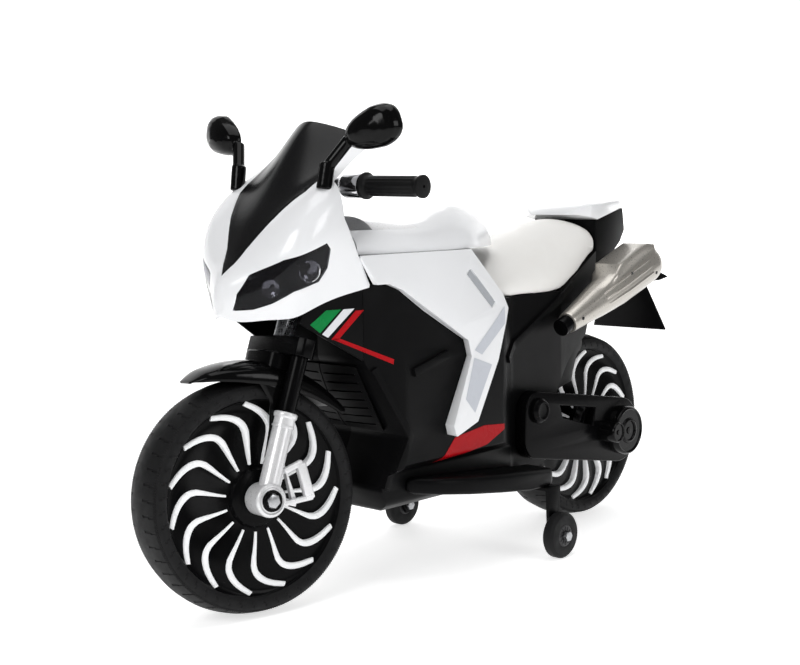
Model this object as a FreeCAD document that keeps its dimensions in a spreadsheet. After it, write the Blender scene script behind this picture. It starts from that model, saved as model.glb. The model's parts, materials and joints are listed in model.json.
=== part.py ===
import FreeCAD, Part
import math
import os

import Sketcher

V = FreeCAD.Vector
doc = FreeCAD.newDocument("KidsMotorbike")
dims = doc.addObject("Spreadsheet::Sheet", "dims")

# Driving sizes: millimetres, and degrees where the name ends in angle.
# x runs forward, y to the rider's left and z up, from the ground below the middle of the bike.
sizes = {
    # Axles and steering
    "front_axle_x": 387.5,
    "rear_axle_x": -361.5,
    "wheel_radius": 160,
    "rake_angle": 20,
    "steer_angle": -12,
    "axle_radius": 6,
    "running_clearance": 0.05,
    "seam_gap": 0.3,
    "overrun": 60,
    # Wheels
    "tyre_half_width": 39,
    "tread_half_width": 32,
    "crown_drop": 9,
    "sidewall_radius": 143,
    "bead_half_width": 33,
    "bead_radius": 133,
    "rim_wall": 3.5,
    "face_offset": 27,
    "face_radius": 122,
    "hub_radius": 40,
    "hub_half_width": 36,
    "hub_bevel": 5,
    "boss_radius": 15,
    "boss_length": 16,
    "light_inner_radius": 50,
    "light_bend_radius": 92,
    "light_outer_radius": 119,
    "light_root_width": 5,
    "light_bend_width": 9,
    "light_tip_width": 8,
    "light_depth": 3,
    "light_hook_angle": 19,
    # Fork, seen along the steering axis from the front axle
    "fork_spacing": 55,
    "fork_leg_radius": 14,
    "fork_tube_radius": 12,
    "fork_leg_top": 118,
    "fork_tube_insert": 40,
    "fork_boss_radius": 22,
    "fork_boss_in": 17,
    "fork_boss_out": 16,
    "brace_reach": 46,
    "brace_height": 62,
    "brace_bar": 8,
    "brace_thickness": 8,
    "crown_low": 196,
    "crown_high": 222,
    "crown_radius": 19,
    "crown_round": 6,
    "column_radius": 14,
    "axle_nut_radius": 10,
    "axle_nut_height": 7,
    # Front fender
    "fender_radius": 184,
    "fender_wall": 3,
    "fender_inset": 12,
    "fender_lip": 12,
    "fender_front_angle": 50,
    "fender_rear_angle": 34,
    "fender_pad_length": 36,
    "fender_pad_width": 52,
    "fender_tongue_length": 100,
    "fender_tongue_width": 34,
    # Handlebar and controls
    "bar_height": 442,
    "bar_radius": 11,
    "bar_straight": 45,
    "bar_reach": 140,
    "bar_sweep_angle": 16,
    "bar_clamp_radius": 19,
    "bar_clamp_length": 34,
    "grip_start": 52,
    "grip_length": 102,
    "grip_radius": 13.5,
    "grip_flange_radius": 18.5,
    "grip_flange_width": 5,
    "grip_end_radius": 15.5,
    "grip_end_wall": 5,
    "control_start": 14,
    "control_length": 36,
    "control_radius": 17,
    "button_radius": 5,
    "button_height": 6,
    "button_travel": 2,
    # Main body
    "body_wall": 3.5,
    "body_deck": 484,
    "body_half_width": 108,
    "body_waist": 104,
    "sill_half_width": 90,
    "belly_half_width": 66,
    "belly_height": 112,
    "sill_top": 172,
    "sill_slope": 10,
    "shoulder_height": 330,
    "waist_height": 400,
    "body_front": 246,
    "front_half_width": 92,
    "arm_seat_half_width": 84,
    "tail_half_width": 66,
    "body_round": 14,
    "seat_base_height": 405,
    "seat_step_x": -52,
    "deck_rear_x": 30,
    "seat_bend_x": -222,
    "seat_rear_height": 465,
    "body_rear_x": -346,
    "body_rear_low": 418,
    "wheel_well_gap": 14,
    "chin_x": 213,
    "chin_z": 150,
    "belly_front_x": 196,
    "belly_rear_x": -126,
    "grille_foot_x": 180,
    "grille_foot_z": 223,
    "flank_rear_x": -45,
    "arm_seat_front_x": -91,
    "flank_round": 30,
    "rib_width": 12,
    "rib_height": 5,
    "ridge_front_x": 164,
    "ridge_front_z": 314,
    "ridge_rear_x": 90,
    "ridge_rear_z": 334,
    "strut_front_x": -59,
    "strut_front_z": 310,
    "strut_rear_x": -255,
    "strut_rear_z": 414,
    # Head tube
    "head_low": 262,
    "head_high": 336,
    "head_radius": 20,
    "head_plate_width": 60,
    "head_plate_wall": 5,
    "head_web": 8,
    # Cowl wings and grille
    "cowl_tip_x": 345,
    "cowl_tip_half_width": 70,
    "cowl_wall": 4,
    "cowl_tip_height": 396,
    "cowl_low_height": 337,
    "cowl_high_height": 440,
    "cowl_tip_top": 418,
    "cowl_tip_top_x": 335,
    "grille_width": 150,
    "grille_margin": 13,
    "grille_depth": 6,
    "slat_gap": 4,
    "slat_depth": 4,
    # Fairing, screen and headlights
    "nose_x": 424,
    "fairing_rear_x": 215,
    "fairing_low": 402,
    "fairing_high": 692,
    "fairing_half_width": 111,
    "fairing_wall": 3,
    "lamp_depth": 10,
    "lamp_rim": 3,
    "lamp_inset": 1.5,
    "nose_band": 9,
    # Side panels, tank cover and dash
    "panel_wall": 3,
    "panel_rim": 5,
    "panel_top_half_width": 109,
    "panel_mid_half_width": 122,
    "panel_low_half_width": 130,
    "panel_mid_height": 370,
    "panel_low_height": 214,
    "slot_width": 9,
    "slot_depth": 2,
    "tank_wall": 3,
    "panel_front_x": 268,
    "panel_rear_x": -40,
    "tank_front_x": 262,
    "tank_rear_x": -114,
    "tank_half_width": 105,
    "tank_top": 552,
    "column_notch_x": 222,
    "column_notch_half_width": 34,
    "dash_rear": 126,
    "dash_seat_height": 517,
    "rocker_x": 190,
    "rocker_y": 40,
    "rocker_gap": 1.2,
    "rocker_rise": 3,
    "rocker_pin_length": 3,
    "rocker_tilt_angle": 8,
    "rocker_length": 20,
    "rocker_width": 12,
    "rocker_depth": 9,
    "rocker_pin_radius": 1.5,
    # Footboards and training wheels
    "foot_front_top": 160,
    "foot_rear_top": 136,
    "foot_front_low": 137,
    "foot_rear_low": 110,
    "foot_half_width": 150,
    "foot_front_x": 166,
    "foot_rear_x": -122,
    "trainer_x": -105,
    "trainer_y": 168,
    "trainer_radius": 35.8,
    "trainer_half_width": 10,
    "trainer_hub_radius": 17,
    "trainer_bolt_radius": 5,
    "bracket_wall": 5,
    "bracket_width": 32,
    "bracket_end_radius": 13,
    "bracket_gap": 1.5,
    "bracket_flange": 34,
    "trainer_bolt_head": 6,
    "trainer_head_radius": 8,
    # Seat and tail
    "seat_front_x": 16,
    "seat_rear_x": -345.5,
    "seat_half_width": 98,
    "seat_top": 525,
    "tail_rear_x": -456,
    "tail_rear_half_width": 50,
    "tail_top": 536,
    "tail_front_top": 518,
    "tail_rear_low": 478,
    "cover_front_x": -296,
    "cover_rear_x": -454,
    "cover_top": 549,
    "cover_front_half_width": 70,
    "lamp_wall": 5,
    "tail_lamp_half_width": 38,
    # Exhausts
    "exhaust_front_x": -222,
    "exhaust_drop": 45,
    "exhaust_y": 106,
    "exhaust_pitch_angle": 21,
    "exhaust_length": 276,
    "exhaust_front_radius": 17,
    "exhaust_waist_radius": 27,
    "exhaust_step_radius": 33,
    "exhaust_rear_radius": 35,
    "exhaust_wall": 3,
    "stub_radius": 14,
    "stub_length": 34,
    "hanger_length": 44,
    "hanger_height": 22,
    # Plate flap and rear indicators
    "flap_top_x": -528,
    "flap_low_x": -546,
    "flap_top_z": 398,
    "flap_low_z": 314,
    "flap_top_half_width": 46,
    "flap_low_half_width": 78,
    "flap_wall": 4,
    "flap_arm_half_width": 22,
    "flap_arm_depth": 24,
    "indicator_y": 56,
    "indicator_length": 50,
    "indicator_radius": 10,
    "indicator_stalk_radius": 4,
    "indicator_x": -508,
    "indicator_z": 414,
    # Swingarms and motors
    "arm_inner": 84.3,
    "arm_outer": 106,
    "arm_pivot_x": -130,
    "arm_pivot_z": 222,
    "arm_pivot_radius": 30,
    "arm_end_radius": 55,
    "arm_bar": 20,
    "arm_heel_drop": 46,
    "arm_heel_radius": 32,
    "pivot_cap_radius": 20,
    "pivot_cap_height": 12,
    "motor_radius": 26,
    "gear_case_radius": 44,
    "gear_case_width": 16,
    "gear_gap": 1,
    "end_cap_radius": 36,
    "end_cap_height": 5,
    # Mirrors
    "mirror_base_x": 299,
    "mirror_base_y": 84,
    "mirror_base_z": 597,
    "mirror_base_radius": 9,
    "mirror_base_height": 10,
    "mirror_stem_radius": 5,
    "mirror_head_x": 286,
    "mirror_head_y": 151,
    "mirror_head_z": 655,
    "mirror_length": 104,
    "mirror_height": 47,
    "mirror_depth": 26,
    "mirror_glass_wall": 2,
    "mirror_glass_rim": 4,
    # Inner pieces
    "battery_x": 60,
    "battery_length": 151,
    "battery_width": 65,
    "battery_height": 94,
    "control_box_length": 90,
    "control_box_width": 60,
    "control_box_height": 30,
    "socket_x": -170,
    "socket_drop": 75,
    "socket_radius": 9,
    "socket_flange_radius": 12,
    "socket_flange_wall": 2,
    "socket_bore_radius": 2.8,
    "socket_bore_depth": 10,
    "socket_length": 14,
}

for row, (alias, number) in enumerate(sizes.items(), start=1):
    dims.set(f"A{row}", alias)
    dims.set(f"B{row}", str(number))
    dims.setAlias(f"B{row}", alias)
doc.recompute()

lights_per_face = 15
slat_count = 7
nodes = []


class Size:
    """A sheet size kept as a number and as the expression that binds to its cell."""

    def __init__(self, number, text):
        self.number = number
        self.text = text

    def joined(self, other, sign, number):
        text = other.text if isinstance(other, Size) else str(other)
        return Size(number, f"({self.text} {sign} {text})")

    def __float__(self):
        return float(self.number)

    def __add__(self, other):
        return self.joined(other, "+", self.number + float(other))

    def __sub__(self, other):
        return self.joined(other, "-", self.number - float(other))

    def __mul__(self, other):
        return self.joined(other, "*", self.number * float(other))

    def __neg__(self):
        return Size(-self.number, f"(-{self.text})")


class Sizes:
    def __getattr__(self, alias):
        return Size(float(getattr(dims, alias)), f"dims.{alias}")


s = Sizes()
zero = Size(0.0, "0")
half_share = 0.5
# Longer than the bike, for outlines drawn out right through it.
through_share = 4
far = dims.front_axle_x * through_share

# The steering frame: its origin is the front axle, its z axis the raked steering axis.
steering_place = (
    "placement(vector(dims.front_axle_x; 0; dims.wheel_radius); "
    "rotation(vector(0; 1; 0); -dims.rake_angle) * rotation(vector(0; 0; 1); dims.steer_angle))"
)


def keep(node, label):
    node.Label = label
    nodes.append(node)
    return node


def steered(node, label):
    # A primitive keeps its own place inside a compound, and the compound is steered.
    if node.TypeId == "Part::Cylinder":
        node = group(f"{node.Name}_steered", [node])
    node.setExpression("Placement", steering_place)
    return keep(node, label)


def feature(name, shape):
    node = doc.addObject("Part::Feature", name)
    node.Shape = shape
    return node


def mirrored(source, label):
    node = doc.addObject("Part::Mirroring", label)
    node.Source = source
    node.Normal = V(0, 1, 0)
    return keep(node, label)


def paired(source, label):
    # One sub-part made of a left-hand piece and its right-hand mirror image.
    other = doc.addObject("Part::Mirroring", f"{label}_mirror")
    other.Source = source
    other.Normal = V(0, 1, 0)
    return keep(group(f"{label}_pair", [source, other]), label)


def bind_base(node, base):
    for letter, place in zip("xyz", base):
        node.setExpression(f"Placement.Base.{letter}", place.text)


turn_to = {
    "y": FreeCAD.Rotation(V(1, 0, 0), -90),
    "z": FreeCAD.Rotation(),
}


def cylinder(name, radius, height, base=(zero, zero, zero), axis="z"):
    node = doc.addObject("Part::Cylinder", name)
    node.setExpression("Radius", radius.text)
    node.setExpression("Height", height.text)
    node.Placement.Rotation = turn_to[axis]
    bind_base(node, base)
    return node


def block(name, lengths, base):
    node = doc.addObject("Part::Box", name)
    for prop, length in zip(("Length", "Width", "Height"), lengths):
        node.setExpression(prop, length.text)
    bind_base(node, base)
    return node


def prism(name, width, height, base, axis="z"):
    node = doc.addObject("Part::Prism", name)
    node.Polygon = 6
    node.setExpression("Circumradius", width.text)
    node.setExpression("Height", height.text)
    node.Placement.Rotation = turn_to[axis]
    bind_base(node, base)
    return node


def fused(name, shapes):
    node = doc.addObject("Part::MultiFuse", name)
    node.Shapes = shapes
    node.Refine = True
    return node


def cut(name, base, tool):
    node = doc.addObject("Part::Cut", name)
    node.Base = base
    node.Tool = tool
    return node


def group(name, shapes):
    node = doc.addObject("Part::Compound", name)
    node.Links = shapes
    return node


def new_body(name):
    return doc.addObject("PartDesign::Body", name)


def new_sketch(body, role, lift=zero):
    plane = next(item for item in body.Origin.OriginFeatures if item.Role == role)
    sketch = body.newObject("Sketcher::SketchObject", f"{body.Name}_sketch")
    sketch.AttachmentSupport = (plane, [""])
    sketch.MapMode = "FlatFace"
    sketch.setExpression("AttachmentOffset.Base.z", lift.text)
    return sketch


def draw(sketch, corners):
    first = sketch.GeometryCount
    count = len(corners)
    spots = [V(float(a), float(b), 0) for a, b in corners]
    for index in range(count):
        sketch.addGeometry(Part.LineSegment(spots[index], spots[(index + 1) % count]), False)
    for index in range(count):
        follower = first + (index + 1) % count
        sketch.addConstraint(Sketcher.Constraint("Coincident", first + index, 2, follower, 1))
    for index, corner in enumerate(corners):
        for kind, place in zip(("DistanceX", "DistanceY"), corner):
            number = sketch.addConstraint(
                Sketcher.Constraint(kind, -1, 1, first + index, 1, float(place))
            )
            sketch.setExpression(f"Constraints[{number}]", place.text)


def pad(body, sketch, length):
    node = body.newObject("PartDesign::Pad", f"{body.Name}_pad")
    node.Profile = sketch
    node.setExpression("Length", length.text)
    return node


def revolved(name, corners):
    body = new_body(name)
    sketch = new_sketch(body, "XY_Plane")
    draw(sketch, corners)
    turn = body.newObject("PartDesign::Revolution", f"{name}_turn")
    turn.Profile = sketch
    turn.ReferenceAxis = (sketch, ["V_Axis"])
    turn.Angle = 360
    return body


def round_edges(body, radius, chosen):
    doc.recompute()
    base = body.Tip
    names = [f"Edge{n}" for n, edge in enumerate(base.Shape.Edges, start=1) if chosen(edge)]
    node = body.newObject("PartDesign::Fillet", f"{body.Name}_round")
    node.Base = (base, names)
    node.setExpression("Radius", radius.text)
    return node


# Outlines lie in a side view (x, z), a plan (x, y) or a section (y, z).
def side(a, b):
    return V(a, 0, b)


def plan(a, b):
    return V(a, b, 0)


def section(a, b):
    return V(0, a, b)


def rounded(corners, radii, lift):
    # A closed wire whose corners are rounded by arcs that touch both sides.
    spots = [lift(a, b) for a, b in corners]
    count = len(spots)
    starts, ends, arcs = list(spots), list(spots), [None] * count
    for index in range(count):
        radius = radii[index] if isinstance(radii, (list, tuple)) else radii
        if not radius:
            continue
        here = spots[index]
        back = (spots[index - 1] - here).normalize()
        ahead = (spots[(index + 1) % count] - here).normalize()
        half = back.getAngle(ahead) / 2
        reach = radius / math.tan(half)
        starts[index] = here + back * reach
        ends[index] = here + ahead * reach
        arcs[index] = here + (back + ahead).normalize() * (radius / math.sin(half) - radius)
    edges = []
    for index in range(count):
        if arcs[index] is not None:
            edges.append(Part.Arc(starts[index], arcs[index], ends[index]).toShape())
        edges.append(Part.LineSegment(ends[index], starts[(index + 1) % count]).toShape())
    return Part.Wire(edges)


def swept(wire, span):
    # The wire's face drawn out along span, half to each side of where it lies.
    face = Part.Face(wire)
    face.translate(span * -half_share)
    return face.extrude(span)


def spline_section(x, half):
    # A closed section at x, from its right-hand half outline of (y, z), bottom first, top last.
    right = [V(x, y, z) for y, z in half]
    left = [V(x, -y, z) for y, z in reversed(half[:-1])]
    curve = Part.BSplineCurve()
    curve.interpolate(right + left)
    base = Part.LineSegment(left[-1], right[0])
    return Part.Wire([curve.toShape(), base.toShape()])


def hull(stations):
    return Part.makeLoft([spline_section(x, half) for x, half in stations], True)


def hollow(stations, wall, ends, lowered=1):
    # The space inside a moulded skin of this wall, running out below it and past an open end.
    # As many points next to the top are lowered as a flat top has.
    shrunk = []
    for (x, half), shift in zip(stations, ends):
        inner = [(y - wall, z) for y, z in half[:-1]]
        inner[0] = (inner[0][0], half[0][1] - wall)
        for index in range(len(inner) - lowered, len(inner)):
            inner[index] = (inner[index][0], inner[index][1] - wall)
        inner.append((0, half[-1][1] - wall))
        shrunk.append((x + shift, inner))
    return hull(shrunk)


def wheel(prefix, hook_sign):
    crown_shares = (0.3, 0.65, 1.0)
    tread = [
        (s.wheel_radius - s.crown_drop * share ** 2, s.tread_half_width * share)
        for share in crown_shares
    ]
    half = tread + [(s.sidewall_radius, s.tyre_half_width), (s.bead_radius, s.bead_half_width)]
    tyre = revolved(f"{prefix}_tyre", half + [(r, -y) for r, y in reversed(half)])

    bore = s.axle_radius + s.running_clearance
    outside = [
        (bore, s.hub_half_width),
        (s.hub_radius - s.hub_bevel, s.hub_half_width),
        (s.hub_radius, s.hub_half_width - s.hub_bevel),
        (s.hub_radius, s.face_offset),
        (s.face_radius, s.face_offset),
        (s.bead_radius - s.rim_wall, s.bead_half_width),
        (s.bead_radius, s.bead_half_width),
    ]
    inside = [
        (bore, s.hub_half_width - s.boss_length),
        (s.boss_radius, s.hub_half_width - s.boss_length),
        (s.boss_radius, s.hub_half_width - s.rim_wall),
        (s.hub_radius - s.hub_bevel, s.hub_half_width - s.rim_wall),
        (s.hub_radius - s.rim_wall, s.face_offset - s.rim_wall),
        (s.bead_radius - s.rim_wall, s.face_offset - s.rim_wall),
    ]
    outline = outside + [(r, -y) for r, y in reversed(outside)]
    outline += [(r, -y) for r, y in inside] + list(reversed(inside))
    rim = revolved(f"{prefix}_rim", outline)

    # One light bar: straight from the hub, then hooked round towards the rim.
    def spot(radius, width, angle):
        turn = math.radians(angle) * hook_sign
        lean = math.atan2(width / 2, radius)
        return [
            V(radius * math.cos(turn + way * lean), 0, radius * math.sin(turn + way * lean))
            for way in (-1, 1)
        ]

    root = spot(dims.light_inner_radius, dims.light_root_width, 0)
    bend = spot(dims.light_bend_radius, dims.light_bend_width, 0)
    tip = spot(dims.light_outer_radius, dims.light_tip_width, dims.light_hook_angle)
    edges = [
        Part.Arc(root[0], bend[0], tip[0]).toShape(),
        Part.LineSegment(tip[0], tip[1]).toShape(),
        Part.Arc(tip[1], bend[1], root[1]).toShape(),
        Part.LineSegment(root[1], root[0]).toShape(),
    ]
    face = Part.Face(Part.Wire(edges))
    face.translate(V(0, dims.face_offset, 0))
    bar = face.extrude(V(0, dims.light_depth, 0))
    other = bar.mirror(V(0, 0, 0), V(0, 1, 0))
    bars = []
    for index in range(lights_per_face):
        for one in (bar, other):
            copy = one.copy()
            copy.rotate(V(0, 0, 0), V(0, 1, 0), 360 / lights_per_face * index)
            bars.append(copy)
    lights = feature(f"{prefix}_lights", Part.makeCompound(bars))
    return tyre, rim, lights


def front_wheel():
    for node, label in zip(wheel("front", -1), ("front_tyre", "front_rim", "front_wheel_lights")):
        steered(node, label)


def rear_wheel():
    for node, label in zip(wheel("rear", 1), ("rear_tyre", "rear_rim", "rear_wheel_lights")):
        bind_base(node, (s.rear_axle_x, zero, s.wheel_radius))
        keep(node, label)


def fork():
    boss_inner = s.fork_spacing - s.fork_boss_in
    boss_outer = s.fork_spacing + s.fork_boss_out
    reach = boss_outer * 2
    axle = cylinder("front_axle_rod", s.axle_radius, reach, (zero, -boss_outer, zero), "y")
    nuts = []
    nut_bases = (("left", boss_outer), ("right", -boss_outer - s.axle_nut_height))
    for name, base in nut_bases:
        spot = (zero, base, zero)
        nuts.append(prism(f"front_nut_{name}", s.axle_nut_radius, s.axle_nut_height, spot, "y"))
    steered(fused("front_axle_whole", [axle] + nuts), "front_axle")

    tubes = []
    for name, way in (("left", 1), ("right", -1)):
        y = s.fork_spacing * way
        insert = s.fork_leg_top - s.fork_tube_insert
        tube = cylinder(
            f"fork_tube_rod_{name}", s.fork_tube_radius, s.crown_high - insert, (zero, y, insert)
        )
        tubes.append(tube)

        leg = cylinder(f"fork_leg_rod_{name}", s.fork_leg_radius, s.fork_leg_top, (zero, y, zero))
        boss_length = boss_outer - boss_inner
        boss_start = boss_inner if way > 0 else -boss_outer
        boss_base = (zero, boss_start, zero)
        boss = cylinder(f"fork_boss_{name}", s.fork_boss_radius, boss_length, boss_base, "y")
        brace = new_body(f"fork_brace_{name}")
        lift = s.brace_thickness * half_share - y
        sketch = new_sketch(brace, "XZ_Plane", lift)
        peak = s.brace_height + s.brace_bar
        draw(sketch, [(zero, zero), (zero, peak), (-s.brace_reach, s.brace_bar), (-s.brace_reach, zero)])
        near = s.brace_bar + s.brace_bar
        far = s.brace_reach - s.brace_bar
        draw(sketch, [(-near, s.brace_bar), (-near, s.brace_height - near), (-far, s.brace_bar)])
        pad(brace, sketch, s.brace_thickness).Reversed = True
        whole = fused(f"fork_leg_{name}_whole", [leg, boss, brace])
        bore = cylinder(
            f"fork_leg_bore_{name}", s.fork_tube_radius, s.fork_tube_insert, (zero, y, insert)
        )
        hole_base = (zero, -boss_outer, zero)
        hole = cylinder(f"fork_axle_hole_{name}", s.axle_radius, reach, hole_base, "y")
        holes = fused(f"fork_leg_holes_{name}", [bore, hole])
        steered(cut(f"fork_leg_cut_{name}", whole, holes), f"fork_leg_{name}")
    steered(group("fork_tube_pair", tubes), "fork_tubes")


crown_waist_share = 0.8
crown_bulge_share = 0.4
crown_end_share = 0.6


def fork_crown():
    crown = new_body("crown_block")
    sketch = new_sketch(crown, "XY_Plane", s.crown_low)
    reach = s.fork_spacing + s.crown_radius
    waist = s.crown_radius * crown_waist_share
    half = [
        (s.crown_radius, s.fork_spacing * crown_bulge_share),
        (waist, s.fork_spacing + s.crown_radius * crown_end_share),
        (waist * half_share, reach),
    ]
    right = [(a, -b) for a, b in reversed(half)]
    draw(sketch, half + [(-a, b) for a, b in reversed(half)] + [(-a, -b) for a, b in half] + right)
    pad(crown, sketch, s.crown_high - s.crown_low)
    round_edges(crown, s.crown_round, lambda edge: abs(edge.BoundBox.ZLength) > dims.crown_round)
    holes = []
    for name, way in (("left", 1), ("right", -1)):
        base = (zero, s.fork_spacing * way, zero)
        holes.append(cylinder(f"crown_hole_{name}", s.fork_tube_radius, s.crown_high, base))
    steered(cut("crown_cut", crown, fused("crown_holes", holes)), "fork_crown")
    length = s.bar_height - s.bar_radius - s.crown_high
    column = cylinder("column_rod", s.column_radius, length, (zero, zero, s.crown_high))
    steered(column, "steering_column")


fender_flat_share = 0.7
fender_tongue_share = 0.25


def front_fender():
    body = new_body("fender_band")
    sketch = new_sketch(body, "XY_Plane")
    outer = s.fender_radius + s.fender_wall
    low = s.fender_radius - s.fender_lip
    half_width = s.fork_spacing - s.fender_inset
    flat = half_width * fender_flat_share
    out = half_width + s.fender_wall
    half = [(outer, flat), (s.fender_radius, out), (low, out)]
    inner = [
        (low, half_width),
        (s.fender_radius - s.fender_wall, half_width),
        (s.fender_radius, flat),
    ]
    draw(sketch, half + inner + [(r, -y) for r, y in reversed(half + inner)])
    turn = body.newObject("PartDesign::Revolution", "fender_turn")
    turn.Profile = sketch
    turn.ReferenceAxis = (sketch, ["V_Axis"])
    turn.setExpression("Angle", "dims.fender_front_angle + dims.fender_rear_angle")
    turn.Reversed = True
    body.Placement.Rotation = FreeCAD.Rotation(V(0, 1, 0), dims.fender_front_angle - 90)
    pad_height = s.crown_low - s.fender_radius - s.fender_wall * half_share
    top = block(
        "fender_pad",
        (s.fender_pad_length, s.fender_pad_width, pad_height),
        (-s.fender_pad_length * half_share, -s.fender_pad_width * half_share, s.crown_low - pad_height),
    )
    tongues = []
    tongue = (s.fender_tongue_width, s.fender_wall, s.fender_tongue_length)
    tongue_x = -s.fender_tongue_width * fender_tongue_share
    tongue_z = s.fender_radius - s.fender_tongue_length - s.fender_wall
    for name, y in (("left", half_width), ("right", -out)):
        tongues.append(block(f"fender_tongue_{name}", tongue, (tongue_x, y, tongue_z)))
    whole = fused("fender_whole", [body, top] + tongues)
    relief = s.fork_leg_radius + s.seam_gap
    legs = [
        cylinder(f"fender_relief_{name}", relief, s.crown_low, (zero, s.fork_spacing * way, zero))
        for name, way in (("left", 1), ("right", -1))
    ]
    steered(cut("fender_cut", whole, fused("fender_reliefs", legs)), "front_fender")


def bar_path(way):
    # Where the swept end of the bar starts and which way it runs.
    lean = math.radians(dims.bar_sweep_angle)
    start = V(0, dims.bar_straight * way, dims.bar_height)
    return start, V(-math.sin(lean), way * math.cos(lean), 0)


def turned_on_bar(way, profile):
    # A solid turned about the swept end of the bar from a profile of (distance, radius).
    start, along = bar_path(way)
    spots = [start + along * distance + V(0, 0, radius) for distance, radius in profile]
    face = Part.Face(Part.makePolygon(spots + spots[:1]))
    return face.revolve(start, along, 360)


def handlebar():
    centre = Part.makeCylinder(
        dims.bar_radius, dims.bar_straight * 2, V(0, -dims.bar_straight, dims.bar_height), V(0, 1, 0)
    )
    shape = centre
    for way in (1, -1):
        start, along = bar_path(way)
        shape = shape.fuse(Part.makeSphere(dims.bar_radius, start))
        shape = shape.fuse(Part.makeCylinder(dims.bar_radius, dims.bar_reach, start, along))
    clamp_base = V(0, -dims.bar_clamp_length / 2, dims.bar_height)
    clamp = Part.makeCylinder(dims.bar_clamp_radius, dims.bar_clamp_length, clamp_base, V(0, 1, 0))
    column = Part.makeCylinder(
        dims.column_radius, dims.bar_height, V(0, 0, -dims.bar_radius), V(0, 0, 1)
    )
    shape = shape.fuse(clamp).cut(column).removeSplitter()
    steered(feature("bar_tube", shape), "handlebar")

    for label, way, slack in (("left_grip", 1, 0), ("throttle_grip", -1, dims.running_clearance)):
        bore = dims.bar_radius + slack
        begin, finish = dims.grip_start, dims.grip_start + dims.grip_length
        flange = dims.grip_flange_width
        profile = [
            (begin, bore),
            (begin, dims.grip_flange_radius),
            (begin + flange, dims.grip_flange_radius),
            (begin + flange * 2, dims.grip_radius),
            (finish - flange * 2, dims.grip_radius),
            (finish - flange, dims.grip_end_radius),
            (finish, dims.grip_end_radius),
            (finish, 0),
            (finish - dims.grip_end_wall, 0),
            (finish - dims.grip_end_wall, bore),
        ]
        steered(feature(f"{label}_turned", turned_on_bar(way, profile)), label)

    for label, way in (("left_controls", 1), ("right_controls", -1)):
        begin = dims.control_start
        finish = begin + dims.control_length
        bevel = dims.control_radius - dims.bar_radius
        profile = [
            (begin, dims.bar_radius),
            (begin, dims.control_radius - bevel / 2),
            (begin + bevel, dims.control_radius),
            (finish, dims.control_radius),
            (finish, dims.bar_radius),
        ]
        shape = turned_on_bar(way, profile)
        if way > 0:
            extra = dims.button_travel + dims.seam_gap
            shape = shape.cut(button_shape(dims.button_radius + dims.seam_gap, extra))
        steered(feature(f"{label}_turned", shape), label)
    button = button_shape(dims.button_radius, 0)
    steered(feature("horn_button_turned", button), "horn_button")


button_spot_share = 0.6


def button_shape(radius, extra):
    # The horn button stands out of the back of the left control housing.
    start, along = bar_path(1)
    out = along.cross(V(0, 0, 1)) * -1
    middle = start + along * (dims.control_start + dims.control_length * button_spot_share)
    seat = dims.control_radius - dims.button_height / 2
    return Part.makeCylinder(radius, dims.button_height + extra, middle + out * (seat - extra), out)


def steering_head():
    # The head tube leans with the steering axis and is webbed back to a plate on the body's front.
    lean = math.radians(dims.rake_angle)
    axis = V(-math.sin(lean), 0, math.cos(lean))
    foot = V(dims.front_axle_x, 0, dims.wheel_radius)
    low, high = foot + axis * dims.head_low, foot + axis * dims.head_high
    length = dims.head_high - dims.head_low
    tube = Part.makeCylinder(dims.head_radius, length, low, axis)
    half = dims.head_web / 2
    web_corners = [(low.x, low.z), (high.x, high.z), (dims.body_front, high.z), (dims.body_front, low.z)]
    web = swept(rounded(web_corners, 0, side), V(0, dims.head_web, 0))
    plate = Part.makeBox(
        dims.head_plate_wall,
        dims.head_plate_width,
        high.z - low.z,
        V(dims.body_front, -dims.head_plate_width / 2, low.z),
    )
    bore_radius = dims.column_radius + dims.running_clearance
    bore = Part.makeCylinder(bore_radius, far, low - axis * length, axis)
    shape = tube.fuse(web).fuse(plate).cut(bore).removeSplitter()
    keep(feature("head_tube", shape), "steering_head")


def socket_height():
    return dims.seat_base_height - dims.socket_drop


def body_side_corners():
    # Side outline of the black body from the top of its front, round below to the seat base.
    reach = dims.wheel_radius + dims.wheel_well_gap
    well_angles = (-8, 12, 32, 52, 72)
    well = []
    for angle in well_angles:
        turn = math.radians(angle)
        x = dims.rear_axle_x + reach * math.cos(turn)
        well.append((x, dims.wheel_radius + reach * math.sin(turn)))
    return [
        (dims.body_front, dims.body_deck),
        (dims.body_front, dims.cowl_low_height),
        (dims.grille_foot_x, dims.grille_foot_z),
        (dims.chin_x, dims.chin_z),
        (dims.belly_front_x, dims.belly_height),
        (dims.belly_rear_x, dims.belly_height),
        *well,
        (dims.body_rear_x, dims.body_rear_low),
        (dims.body_rear_x, dims.seat_rear_height),
        (dims.seat_bend_x, dims.seat_base_height),
        (dims.seat_step_x, dims.seat_base_height),
        (dims.deck_rear_x, dims.body_deck),
    ]


def body_half_plan():
    return [
        (dims.body_front, 0),
        (dims.body_front, dims.front_half_width),
        (dims.grille_foot_x, dims.body_half_width),
        (dims.flank_rear_x, dims.body_half_width),
        (dims.arm_seat_front_x, dims.arm_seat_half_width),
        (dims.seat_bend_x, dims.arm_seat_half_width),
        (dims.body_rear_x, dims.tail_half_width),
        (dims.body_rear_x, 0),
    ]


well_bend_share = 0.9
rib_from_share = 0.8


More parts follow.
